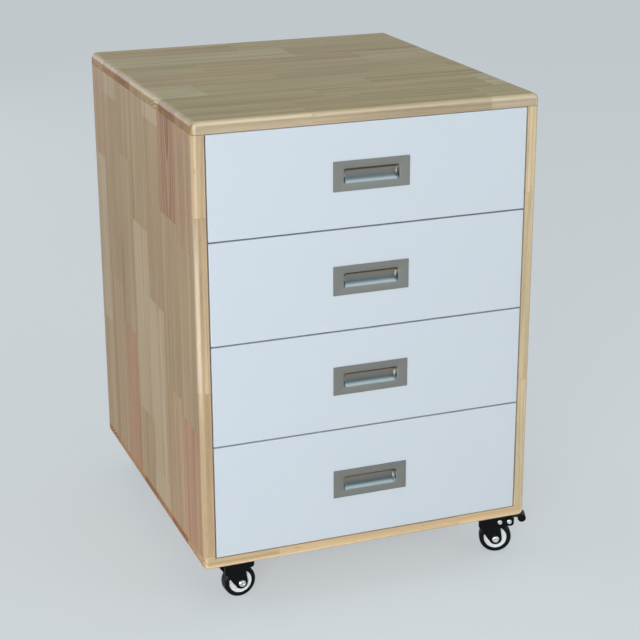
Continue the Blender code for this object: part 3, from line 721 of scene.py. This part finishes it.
def plated_steel(name, colour):
    """Bright zinc with faint spangle and passivation tint."""
    s = Shader(name, Metallic=1.0)
    at = s.place()
    spangle = s.node("ShaderNodeTexVoronoi", values={"Vector": at, "Scale": 260.0}, output=1)
    cloud, fine = s.noise(at, 24.0, 3.0), s.noise(at, 900.0)
    tint = s.mix(cloud * 0.35, colour, times(colour, ZINC_HAZE))
    shade = 0.88 + 0.16 * s.parts(spangle)["x"]
    return s.dress(tint * shade, roughness=0.28 + 0.14 * cloud + 0.05 * fine, height=fine, depth=0.00003)


def black_coat(name, colour):
    """A black coating with a faint texture and a little dust in it."""
    s = Shader(name, Specular_IOR_Level=0.09)
    at = s.place()
    cloud, grit = s.noise(at, 45.0, 3.0), s.noise(at, 300.0, 3.0)
    dust = s.ease(cloud, 0.60, 0.90) * 0.06
    tint = s.mix(dust, colour, DUST)
    return s.dress(tint, roughness=0.20 + 0.14 * cloud, height=grit, depth=0.00005)


def wheel_black(name, colour):
    """Glossy moulded black with a scuffed, dusty tread. The wheel turns about its local Z."""
    s = Shader(name, Specular_IOR_Level=0.12)
    at = s.place()
    tread = s.ease(s.reach(at), *TREAD_RADII)
    scuff, cloud = s.noise(at, 900.0, 3.0), s.noise(at, 90.0, 3.0)
    worn = tread * s.ease(cloud, 0.35, 0.75)
    tint = s.mix(worn * 0.05, colour, SCUFF)
    return s.dress(tint, roughness=0.12 + 0.10 * cloud + 0.26 * tread, height=scuff, depth=0.00004)


def moulded_white(name, colour):
    """Satin white moulding."""
    s = Shader(name)
    at = s.place()
    cloud, grit = s.noise(at, 120.0), s.noise(at, 1500.0)
    tint = s.mix(cloud * 0.12, colour, times(colour, 0.75))
    return s.dress(tint, roughness=0.36 + 0.10 * cloud, height=grit, depth=0.00003)


def turned_bright(name, colour):
    """Bright turned steel with faint tool rings about its local Z."""
    s = Shader(name, Metallic=1.0)
    at = s.place()
    rings, cloud = s.noise(s.vector(s.reach(at) * 2600.0)), s.noise(at, 400.0, 3.0)
    tint = s.mix(cloud * 0.4, colour, times(colour, 0.72))
    return s.dress(tint, roughness=0.24 + 0.16 * cloud, height=rings, depth=0.00006)


def repaint(node, finish):
    """Give a CAD node its finish."""
    slots = frame["nodes"][node].material_slots
    if not slots:
        frame["nodes"][node].data.materials.append(finish)
    for material_slot in slots:
        material_slot.material = finish


def soften(mesh, width=ARRIS):
    """Every sharp edge broken by a small round, with flat faces kept flat."""
    return modified(mesh, ("BEVEL", {"width": width, "segments": ARRIS_STEPS, "limit_method": "ANGLE",
                                     "angle_limit": ARRIS_ANGLE}),
                    ("WEIGHTED_NORMAL", {"keep_sharp": False}))


def board(node, name, rounded, finish):
    """A board of the carcass with its outer edges rounded and its back edge rebated."""
    low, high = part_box(node)
    bm = block(low, high)
    outer = [edge for edge in bm.edges if rounded(*(vert.co for vert in edge.verts))]
    bmesh.ops.bevel(bm, geom=outer, offset=EDGE_ROUND, offset_type="OFFSET", segments=ROUND_STEPS,
                    profile=0.5, affect="EDGES", clamp_overlap=True)
    gap = Vector((FIT_GAP, FIT_GAP, FIT_GAP))
    notch_high = BACK_HIGH + gap + Vector((0, CUT_OVERRUN, 0))
    notch = helper(block(BACK_LOW - gap, notch_high), "notch")
    mesh = boolean(save_mesh(bm, name), [notch], "DIFFERENCE")
    mesh.shade_smooth()
    show(name, soften(mesh), "cabinet", finish, nodes=[node])


def aimed(point, direction):
    """A place at a point, with local Z along a direction."""
    return Matrix.Translation(point) @ Vector(direction).to_track_quat("Z", "Y").to_matrix().to_4x4()


def back_screw_places():
    """Where the screws sit round the back panel, with local Z out of its face."""
    shares = [number / BACK_SCREW_GAPS for number in range(BACK_SCREW_GAPS + 1)]
    low, high = (corner - Vector((sign * BACK_INSET, 0, sign * BACK_INSET))
                 for corner, sign in ((BACK_LOW, -1), (BACK_HIGH, 1)))
    return [aimed((low.x + (high.x - low.x) * across, BACK_HIGH.y, low.z + (high.z - low.z) * up), (0, 1, 0))
            for across in shares for up in shares if {across, up} & {0.0, 1.0}]


def gather(mesh, places, name):
    """One mesh from copies of another."""
    bm = bmesh.new()
    for place in places:
        start = len(bm.verts)
        bm.from_mesh(mesh)
        bm.verts.ensure_lookup_table()
        bmesh.ops.transform(bm, matrix=place, verts=bm.verts[start:])
    return save_mesh(bm, name)


class CABINET_OT_carcass(bpy.types.Operator):
    """Builds the four glued boards and the back panel"""

    bl_idname = "cabinet.carcass"
    bl_label = "Carcass"

    def execute(self, context):
        middle_x, middle_z = (BODY_LOW.x + BODY_HIGH.x) / 2, (BODY_LOW.z + BODY_HIGH.z) / 2
        half_x, half_z = (BODY_HIGH.x - BODY_LOW.x - BOARD) / 2, (BODY_HIGH.z - BODY_LOW.z - BOARD) / 2
        boards = (
            ("top_panel", "top_board", "xyz", TOP_SEEDS, TOP_TONE, TOP_EDGE_LIGHT,
             lambda a, b: max(a.z, b.z) - middle_z > half_z),
            ("bottom_panel", "bottom_board", "xyz", BOTTOM_SEEDS, BOTTOM_TONE, BOTTOM_EDGE_LIGHT,
             lambda a, b: middle_z - min(a.z, b.z) > half_z),
            ("left_side_panel", "left_board", "zyx", LEFT_SEEDS, LEFT_TONE, EVEN,
             lambda a, b: middle_x - max(a.x, b.x) > half_x and a.y == b.y),
            ("right_side_panel", "right_board", "zyx", RIGHT_SEEDS, RIGHT_TONE, EVEN,
             lambda a, b: min(a.x, b.x) - middle_x > half_x and a.y == b.y),
        )
        for node, name, axes, seeds, tone, rim, rounded in boards:
            low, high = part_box(node)
            start = {axis: (getattr(low, axis) + getattr(high, axis)) / 2 for axis in "xyz"}
            start["y"] = SIDE_STAVE_START if axes[0] == "z" else BODY_LOW.y
            lay = as_board(axes, [start[axis] for axis in axes])
            board(node, name, rounded, glued_wood(f"{name}_wood", lay, seeds, tone, rim))
        sink = lathe([(0, -SINK_DEPTH), (SINK_LOW_RADIUS, -SINK_DEPTH), (SINK_RADIUS, 0),
                      (SINK_RADIUS, CUT_OVERRUN), (0, CUT_OVERRUN)], SMALL_TURN_STEPS)
        sinks = gather(save_mesh(sink, "sink"), back_screw_places(), "sinks")
        plain = save_mesh(block(BACK_LOW, BACK_HIGH), "back_board")
        mesh = boolean(plain, [added("sinks", sinks)], "DIFFERENCE")
        mesh.shade_flat()
        finish = plywood("back_plywood", "z", "x", "y", BACK_PLY, BACK_PLY_SEED)
        show("back_board", mesh, "cabinet", finish, nodes=["back_panel"])
        return {"FINISHED"}


class CABINET_OT_drawers(bpy.types.Operator):
    """Finishes the drawer fronts, boxes and bottoms"""

    bl_idname = "cabinet.drawers"
    bl_label = "Drawers"

    def execute(self, context):
        look = context.scene.cabinet_finish
        paint = satin_paint("front_paint", tuple(look.front))
        box_wood = glued_wood("drawer_box_wood", as_box, BOX_SEEDS, BOX_TONE)
        ply = plywood("drawer_plywood", "x", "y", "z", BOTTOM_PLY, BOTTOM_PLY_SEED)
        for number in DRAWERS:
            repaint(f"drawer_{number}_front", paint)
            repaint(f"drawer_{number}_box", box_wood)
            repaint(f"drawer_{number}_bottom", ply)
        return {"FINISHED"}


def rounded_outline(half_x, low, high, corner, corner_steps, side_steps=1):
    """A rectangle about x = 0 with round corners, its upper and lower sides in steps."""
    middle, half = (low + high) / 2, (high - low) / 2
    points = []
    for sx, sy, start in CORNERS:
        span = sx * (half_x - corner)
        points += arc((span, middle + sy * (half - corner)), corner, start, start + 90, corner_steps)
        if sx == sy:
            points += [(span - 2 * span * step / side_steps, middle + sy * half)
                       for step in range(1, side_steps)]
    return points


def cup_ring(bm, share, grow, y):
    """One ring of the finger cup: a rounded rectangle whose lower edge climbs as it goes deeper."""
    low = CUP_LOW_RUN * share - CUP_HEIGHT / 2 - grow
    high = CUP_HEIGHT / 2 - CUP_HIGH_RUN * share + grow
    half_x = CUP_WIDTH / 2 - CUP_END_RUN * share + grow
    corner = min(CUP_CORNER + grow, (high - low) / 2 * CUP_ROUNDEST)
    outline = rounded_outline(half_x, low, high, corner, CUP_CORNER_STEPS, CUP_SIDE_STEPS)
    return [bm.verts.new((x, y, z)) for x, z in outline]


def plate_face(bm, y, opening):
    """A flat face of the plate round its opening, and the plate's outline there."""
    corners = [bm.verts.new((sx * PULL_WIDTH / 2, y, sz * PULL_HEIGHT / 2))
               for sx, sz, _ in CORNERS]
    edges = [bm.edges.new((a, b)) for a, b in zip(corners, corners[1:] + corners[:1])]
    for number, vert in enumerate(opening):
        after = opening[(number + 1) % len(opening)]
        edges.append(bm.edges.get((vert, after)) or bm.edges.new((vert, after)))
    bmesh.ops.triangle_fill(bm, edges=edges, use_beauty=True)
    return corners


def pull_mesh():
    """A flush pull pressed from sheet: the plate's back is at y = 0 and its face towards -Y."""
    bm = bmesh.new()
    shares = [step / CUP_RINGS for step in range(CUP_RINGS + 1)]
    lip = [(CUP_LIP * (1 - sin(a)), CUP_LIP * (1 - cos(a))) for a in quarter(CUP_LIP_STEPS)[:-1]]
    inner = [cup_ring(bm, 0, grow, down - PULL_PLATE) for grow, down in lip]
    deep = CUP_DEPTH + PULL_PLATE - CUP_LIP
    inner += [cup_ring(bm, share, 0, CUP_LIP - PULL_PLATE + deep * sin(share * pi / 2))
              for share in shares]
    outer = [cup_ring(bm, share, CUP_WALL, (CUP_DEPTH + CUP_WALL) * sin(share * pi / 2))
             for share in shares]
    for rings in (inner, outer):
        skin(bm, rings)
        bm.faces.new(rings[-1])
    front = plate_face(bm, -PULL_PLATE, inner[0])
    back = plate_face(bm, 0, outer[0])
    skin(bm, [front, back])
    return save_mesh(bm, "finger_pull")


class CABINET_OT_pulls(bpy.types.Operator):
    """Builds the four flush pulls"""

    bl_idname = "cabinet.pulls"
    bl_label = "Pulls"

    def execute(self, context):
        mesh = pull_mesh()
        finish = brushed_plate("satin_nickel", tuple(context.scene.cabinet_finish.pull))
        for number in DRAWERS:
            low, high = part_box(f"drawer_{number}_pull")
            at = Matrix.Translation(((low.x + high.x) / 2, low.y + PULL_PLATE, (low.z + high.z) / 2))
            show(f"drawer_{number}_finger_pull", mesh, f"drawer_{number}", finish, at,
                 [f"drawer_{number}_pull"])
        return {"FINISHED"}


def screw_mesh(radius, height):
    """A screw head about Z that stands on z = 0, with a cross recess."""
    profile = [(0, 0), (radius, 0), (radius, height * SCREW_RIM)]
    profile += [(radius * cos(a), height * (SCREW_RIM + (1 - SCREW_RIM) * sin(a)))
                for a in quarter(SCREW_DOME_STEPS)[1:-1]]
    head = save_mesh(lathe(profile + [(0, height)], SMALL_TURN_STEPS), "screw")
    reach, half, deep = radius * CROSS_REACH, radius * CROSS_HALF, height * CROSS_FLOOR
    cutters = [helper(block((-a, -b, deep), (a, b, height + CUT_OVERRUN)), "cross")
               for a, b in ((reach, half), (half, reach))]
    return smoothed(boolean(head, cutters, "DIFFERENCE"))


class CABINET_OT_fasteners(bpy.types.Operator):
    """Builds the slides' finish and the screws of back, slides and fronts"""

    bl_idname = "cabinet.fasteners"
    bl_label = "Slides and screws"

    def execute(self, context):
        zinc = plated_steel("slide_zinc", tuple(context.scene.cabinet_finish.zinc))
        flat, pan = screw_mesh(FLAT_RADIUS, FLAT_HEAD), screw_mesh(PAN_RADIUS, PAN_HEAD)
        sunk = Matrix.Translation((0, 0, -SINK_DEPTH))
        places = [place @ sunk for place in back_screw_places()]
        show("back_screws", gather(flat, places, "back_screws"), "cabinet", zinc)
        for number in DRAWERS:
            self.slide_screws(number, zinc, flat, pan)
            low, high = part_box(f"drawer_{number}_box")
            inner = low.y + BOX_WALL
            rows = ((low.z + high.z) / 2 - SCREW_ROW, (low.z + high.z) / 2 + SCREW_ROW)
            middle = (low.x + high.x) / 2
            places = [aimed((middle + across, inner, z), (0, 1, 0))
                      for across in (-FRONT_SCREW_X, FRONT_SCREW_X) for z in rows]
            show(f"drawer_{number}_front_screws", gather(pan, places, "front_screws"),
                 f"drawer_{number}", zinc)
        return {"FINISHED"}

    @staticmethod
    def slide_screws(number, zinc, flat, pan):
        """The screws that hold a rail to the cabinet and a runner to the drawer."""
        for side in SIDES:
            sign = 1 if side == "left" else -1
            for piece, head, body in (("rail", flat, "cabinet"), ("runner", pan, f"drawer_{number}")):
                node = f"drawer_{number}_{side}_{piece}"
                repaint(node, zinc)
                low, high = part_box(node)
                outer = low.x if (side == "left") == (piece == "rail") else high.x
                sheet = sign if piece == "rail" else -sign
                places = [aimed((outer + sheet * SLIDE_SHEET, low.y + (high.y - low.y) * share,
                                 (low.z + high.z) / 2), (sheet, 0, 0))
                          for share in SLIDE_SCREW_SHARES]
                show(f"{node}_screws", gather(head, places, "slide_screws"), body, zinc)


def touch(point, side):
    """Angle at which a line from a point meets the leg's round end, on one side or the other."""
    away = (point[0] - TRAIL, point[1] - AXLE_Z)
    turn = acos(LEG_END_RADIUS / hypot(*away))
    return degrees(atan2(away[1], away[0]) + side * turn)


def leg_outline(reach):
    """Side view of a fork leg: a wide head with an ear behind, and a round end at the axle."""
    top, low = FORK_TOP - 2 * BRIDGE_STEP, FORK_TOP - EAR_DROP
    neck = (LEG_BACK_REACH, low - EAR_NECK)
    front = (-LEG_FRONT_REACH, FORK_TOP - LEG_FRONT_DROP)
    points = [(reach, top)]
    points += arc((reach - EAR_CORNER, low + EAR_CORNER), EAR_CORNER, 0, -90, 10)
    points += arc((LEG_BACK_REACH + EAR_NECK, low - EAR_NECK), EAR_NECK, 90, 180, 6)
    points += arc((TRAIL, AXLE_Z), LEG_END_RADIUS, touch(neck, -1), touch(front, 1) - 360, 24)
    return points + [front, (-LEG_FRONT_REACH, top)]


def rod(radius, low, high, name, at=Matrix()):
    """A cylinder about local Z as a throwaway object."""
    obj = helper(lathe([(0, low), (radius, low), (radius, high), (0, high)], TURN_STEPS), name)
    obj.matrix_world = at
    return obj


def fork_mesh(braked):
    """Disc, bridge and two legs bent from one sheet; the braked one leaves room for the pedal."""
    bridge_end = BRIDGE_REACH if braked else LEG_BACK_REACH
    half = LEG_INSIDE + LEG_SHEET / 2
    bridge = block((BRIDGE_STEP - LEG_FRONT_REACH, -half, FORK_UNDERSIDE + BRIDGE_STEP),
                   (bridge_end, half, FORK_TOP - BRIDGE_STEP))
    outline = leg_outline(EAR_REACH if braked else PLAIN_EAR_REACH)
    legs = [helper(slab(outline, low, high), "leg")
            for low, high in ((-LEG_OUTSIDE, -LEG_INSIDE), (LEG_INSIDE, LEG_OUTSIDE))]
    disc = rod(FORK_DISC_RADIUS, FORK_UNDERSIDE, FORK_TOP, "disc")
    mesh = boolean(save_mesh(bridge, "fork"), legs + [disc], "UNION")
    axle = Matrix.Translation((TRAIL, 0, AXLE_Z)) @ LAID_DOWN
    holes = [rod(KINGPIN_RADIUS + FIT_GAP, FORK_UNDERSIDE - CUT_OVERRUN / 2, FORK_TOP + CUT_OVERRUN / 2,
                 "kingpin"),
             rod(AXLE_RADIUS + FIT_GAP, -2 * LEG_OUTSIDE, 2 * LEG_OUTSIDE, "bolt", axle)]
    mesh = boolean(mesh, holes, "DIFFERENCE")
    mesh.shade_smooth()
    return soften(mesh, FORK_ARRIS)


def plate_mesh():
    """Mounting plate, pressed raceway and riveted kingpin, below z = 0."""
    top = -FIT_GAP
    under = top - PLATE_THICKNESS
    outline = rounded_outline(PLATE_LENGTH / 2, -PLATE_BREADTH / 2, PLATE_BREADTH / 2, PLATE_CORNER, 10)
    plate = soften(save_mesh(slab(outline, under, top, upright=False), "plate"))
    race_low = under - RACE_HEIGHT
    head_high = FORK_UNDERSIDE - FIT_GAP
    centre = RACE_RADIUS - RACE_LIP
    profile = [(0, under + PLATE_THICKNESS / 2), (centre, under + PLATE_THICKNESS / 2)]
    profile += arc((centre, under - RACE_LIP), RACE_LIP, 90, 0, 6)
    profile += arc((centre, race_low + RACE_LIP), RACE_LIP, 0, -90, 6)
    profile += [(KINGPIN_RADIUS, race_low), (KINGPIN_RADIUS, head_high), (KINGPIN_HEAD_RADIUS, head_high)]
    profile += [(KINGPIN_HEAD_RADIUS * cos(a),
                 head_high - KINGPIN_RIM - (KINGPIN_HEAD - KINGPIN_RIM) * sin(a))
                for a in quarter(HEAD_STEPS)[:-1]]
    profile += [(0, head_high - KINGPIN_HEAD)]
    race = helper(lathe(profile, TURN_STEPS), "race")
    return smoothed(boolean(plate, [race], "UNION"))


def wheel_mesh():
    """A moulded wheel about Z, with a hub, and a seat round it on each face for the white ring."""
    seat, edge = FACE_HALF - RING_SEAT, RING_OUTER + FIT_GAP
    upper = [(AXLE_RADIUS + FIT_GAP, HUB_HALF), (HUB_RADIUS - MOULD_ROUND, HUB_HALF),
             (HUB_RADIUS, HUB_HALF - MOULD_ROUND), (HUB_RADIUS, seat), (edge, seat),
             (edge, TYRE_HALF - MOULD_ROUND), (edge + MOULD_ROUND, TYRE_HALF),
             (TYRE_BEAD - MOULD_ROUND, TYRE_HALF), (TYRE_BEAD, TYRE_HALF - MOULD_ROUND)]
    upper += arc((WHEEL_RADIUS - TYRE_ROUND, TYRE_HALF - MOULD_ROUND - TYRE_ROUND), TYRE_ROUND, 85, 0, 14)
    return save_mesh(lathe(mirrored(upper), TURN_STEPS * 2, closed=True), "wheel")


def ring_mesh():
    """The white ring on both faces of the wheel: a raised rim round a shallow dish."""
    bm = bmesh.new()
    low, high = FACE_HALF - RING_SEAT + FIT_GAP, FACE_HALF + RING_PROUD
    rim = RING_OUTER - 3 * MOULD_ROUND
    for sign in (1, -1):
        profile = [(RING_INNER, low), (RING_INNER, high - RING_DISH), (rim - RING_DISH, high - RING_DISH)]
        profile += [(rim, high), (RING_OUTER - MOULD_ROUND, high), (RING_OUTER, high - MOULD_ROUND),
                    (RING_OUTER, low)]
        lathe([(radius, sign * height) for radius, height in profile], TURN_STEPS * 2, bm, closed=True)
    return save_mesh(bm, "ring")


def bolt_mesh(radius, head_radius, head, seat):
    """A bolt or rivet about Z with the same domed head at both ends, each with a small dimple."""
    crown = [(head_radius, seat), (head_radius, seat + head * HEAD_RIM)]
    crown += [(head_radius * (HEAD_FLAT + (1 - HEAD_FLAT) * cos(a)),
               seat + head * (HEAD_RIM + (1 - HEAD_RIM) * sin(a)))
              for a in quarter(HEAD_STEPS)[1:]]
    crown += [(head_radius * out, seat + head * up) for out, up in DIMPLE]
    half = list(reversed(crown)) + [(radius, seat)]
    return save_mesh(lathe(mirrored(half), SMALL_TURN_STEPS * 2), "bolt")


def pedal_mesh():
    """The brake pedal about its pivot: hub, arm, shoe over the wheel, and a rolled tip."""
    pivot = Vector((PIVOT_OUT, FORK_TOP - PIVOT_DROP))
    tip = Vector((TIP_OUT, FORK_TOP - TIP_DROP)) - pivot
    top = FORK_TOP + PEDAL_LIFT - pivot.y
    arm_low = top - PEDAL_SHEET
    far = SHOE_OUT + SHOE_LENGTH
    shoe_z = AXLE_Z + sqrt((WHEEL_RADIUS + SHOE_GAP) ** 2 - (far - TRAIL) ** 2) - pivot.y
    points = arc((0, 0), PEDAL_HUB_RADIUS, 135, 315, 18)
    points += [(SHOE_OUT - pivot.x, shoe_z + SHOE_LENGTH / 2), (far - pivot.x, shoe_z),
               (far - pivot.x, arm_low)]
    below = degrees(asin((tip.y - arm_low) / TIP_RADIUS))
    above = degrees(asin((top - tip.y) / TIP_RADIUS))
    points += arc(tuple(tip), TIP_RADIUS, below - 180, 180 - above, 32)
    points += [(PEDAL_HUB_RADIUS / 2, top)]
    mesh = save_mesh(slab(points, -PEDAL_WIDTH / 2, PEDAL_WIDTH / 2), "pedal")
    return soften(mesh, FORK_ARRIS)


class CABINET_OT_casters(bpy.types.Operator):
    """Builds the four casters, two of them with a brake"""

    bl_idname = "cabinet.casters"
    bl_label = "Casters"

    def execute(self, context):
        look = context.scene.cabinet_finish
        black = tuple(look.black)
        coat = black_coat("black_coat", black)
        moulded, white = wheel_black("wheel_gloss", black), moulded_white("ring_moulding", tuple(look.ring))
        bright = turned_bright("bright_steel", BRIGHT)
        zinc = plated_steel("screw_zinc", tuple(look.zinc))
        plate, wheel, ring = plate_mesh(), wheel_mesh(), ring_mesh()
        forks = {braked: fork_mesh(braked) for braked in (False, True)}
        axle = bolt_mesh(AXLE_RADIUS, AXLE_HEAD_RADIUS, AXLE_HEAD, LEG_OUTSIDE + FIT_GAP)
        rivet = bolt_mesh(RIVET_RADIUS, RIVET_HEAD_RADIUS, RIVET_HEAD, LEG_OUTSIDE + FIT_GAP)
        pedal, screw = pedal_mesh(), screw_mesh(PAN_RADIUS, PLATE_PAN_HEAD)
        under = -(FIT_GAP + PLATE_THICKNESS)
        heads = [aimed((sx * PLATE_SCREW_X, sy * PLATE_SCREW_Y, under), (0, 0, -1))
                 for sx in (-1, 1) for sy in (-1, 1)]
        screws = gather(screw, heads, "plate_screws")
        for name in CASTERS:
            place = caster_place(name)
            fixed = Matrix.Translation(place.translation)
            hub = place @ Matrix.Translation((TRAIL, 0, AXLE_Z)) @ LAID_DOWN
            swivel, roller = f"{name}_caster", f"{name}_roller"
            pieces = [
                ("mounting_plate", plate, "cabinet", coat, "black_metal", fixed, ["caster_plate"]),
                ("plate_screws", screws, "cabinet", zinc, "slide_steel", fixed, []),
                ("stamped_fork", forks[name in BRAKED], swivel, coat, "black_metal", place, ["fork"]),
                ("moulded_wheel", wheel, roller, moulded, "wheel_black", hub, ["wheel"]),
                ("white_ring", ring, roller, white, "ring_white", hub, ["ring"]),
                ("axle_bolt", axle, swivel, bright, "bright_metal", hub, ["axle"]),
            ]
            if name in BRAKED:
                pivot = place @ Matrix.Translation((PIVOT_OUT, 0, FORK_TOP - PIVOT_DROP))
                stop = place @ Matrix.Translation((STOP_OUT, 0, FORK_TOP - STOP_DROP))
                brake = f"{name}_brake"
                pieces += [
                    ("pedal", pedal, brake, coat, "black_metal", pivot, ["brake_pedal"]),
                    ("pivot_rivet", rivet, brake, bright, "bright_metal", pivot @ LAID_DOWN, []),
                    ("stop_rivet", rivet, swivel, bright, "bright_metal", stop @ LAID_DOWN, []),
                ]
            for piece, mesh, body, finish, slot, at, nodes in pieces:
                show(f"{name}_{piece}", mesh, body, finish, at, [f"{name}_{node}" for node in nodes])
        return {"FINISHED"}


class CABINET_OT_stage(bpy.types.Operator):
    """Builds the floor, the lamps, the even light and the camera"""

    bl_idname = "cabinet.stage"
    bl_label = "Stage"

    def execute(self, context):
        look = context.scene.cabinet_stage
        self.camera(context.scene, look)
        self.floor(look)
        self.world(context.scene, look)
        for name, at, wide, tall, share in LAMPS:
            lamp = bpy.data.lights.new(name, "AREA")
            lamp.shape, lamp.size, lamp.size_y, lamp.energy = "RECTANGLE", wide, tall, look.key * share
            lamp.color = look.light
            obj = added(name, lamp)
            obj.matrix_world = aimed(at, Vector(at) - Vector(LAMP_TARGET))
            obj.visible_diffuse, obj.visible_camera = not name.endswith("gloss_lamp"), False
        context.scene.view_settings.view_transform = "Standard"
        return {"FINISHED"}

    @staticmethod
    def camera(scene, look):
        """The camera where the photograph was taken from."""
        ahead = Vector(CAMERA_AHEAD).normalized()
        right = Vector(CAMERA_RIGHT)
        right = (right - right.dot(ahead) * ahead).normalized()
        data = bpy.data.cameras.new("photo_camera")
        data.sensor_width, data.lens = SENSOR, look.focal
        data.clip_end = 2 * FLOOR_SIZE
        obj = added("photo_camera", data)
        turned = Matrix((right, right.cross(ahead), -ahead)).transposed().to_4x4()
        obj.matrix_world = Matrix.Translation(CAMERA_AT) @ turned
        scene.camera = obj

    @staticmethod
    def floor(look):
        """A wide plain floor, evened out for the camera by a share of plain light of its own."""
        s = Shader("floor", Roughness=0.55, Specular_IOR_Level=0.2)
        cloud = s.noise(s.place(), 1.5, 3.0)
        finish = s.dress(s.mix(cloud * 0.10, tuple(look.floor), times(look.floor, 0.85)))
        plain = s.node("ShaderNodeEmission",
                       values={"Color": times(times(look.floor, tuple(look.light)), FLOOR_LIFT)})
        both = s.node("ShaderNodeMixShader",
                      values={0: s.seen() * FLOOR_EVEN, 1: Value(s, s.surface.outputs[0]), 2: plain})
        s.tree.links.new(both.socket, s.tree.nodes["Material Output"].inputs["Surface"])
        bm = bmesh.new()
        bmesh.ops.create_grid(bm, x_segments=8, y_segments=8, size=FLOOR_SIZE / 2)
        obj = added("floor", save_mesh(bm, "floor"))
        obj.data.materials.append(finish)

    @staticmethod
    def world(scene, look):
        """Even light, and a pale background where the camera or a reflection sees it."""
        world = bpy.data.worlds.new("studio")
        world.use_nodes = True
        scene.world = world
        background = world.node_tree.nodes["Background"]
        background.inputs["Color"].default_value = (*times(look.floor, tuple(look.light)), 1.0)
        s = Nodes(world.node_tree)
        strength = s.node("ShaderNodeMapRange", values={"Value": s.seen(), "To Min": look.ambient})
        s.tree.links.new(strength.socket, background.inputs["Strength"])


OPERATORS = (CABINET_OT_carcass, CABINET_OT_drawers, CABINET_OT_pulls, CABINET_OT_fasteners,
             CABINET_OT_casters, CABINET_OT_stage)


class CABINET_PT_sidebar(bpy.types.Panel):
    """The cabinet's settings and steps"""

    bl_idname = "CABINET_PT_sidebar"
    bl_label = "Pedestal cabinet"
    bl_space_type = "VIEW_3D"
    bl_region_type = "UI"
    bl_category = "Cabinet"

    def draw(self, context):
        for group in (context.scene.cabinet_wood, context.scene.cabinet_finish, context.scene.cabinet_stage):
            column = self.layout.column(align=True)
            for name in type(group).__annotations__:
                column.prop(group, name)
        for operator in OPERATORS:
            self.layout.operator(operator.bl_idname)


CLASSES = (WoodLook, FinishLook, StageLook, *OPERATORS, CABINET_PT_sidebar)


def register():
    """Add the classes and the settings to Blender."""
    for cls in CLASSES:
        bpy.utils.register_class(cls)
    bpy.types.Scene.cabinet_wood = PointerProperty(type=WoodLook)
    bpy.types.Scene.cabinet_finish = PointerProperty(type=FinishLook)
    bpy.types.Scene.cabinet_stage = PointerProperty(type=StageLook)


def unregister():
    """Take them out again."""
    for name in ("cabinet_stage", "cabinet_finish", "cabinet_wood"):
        delattr(bpy.types.Scene, name)
    for cls in reversed(CLASSES):
        bpy.utils.unregister_class(cls)


def main():
    """Dress the frame."""
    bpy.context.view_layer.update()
    register()
    for name in ("carcass", "drawers", "pulls", "fasteners", "casters", "stage"):
        getattr(bpy.ops.cabinet, name)()


if __name__ == "__main__":
    main()
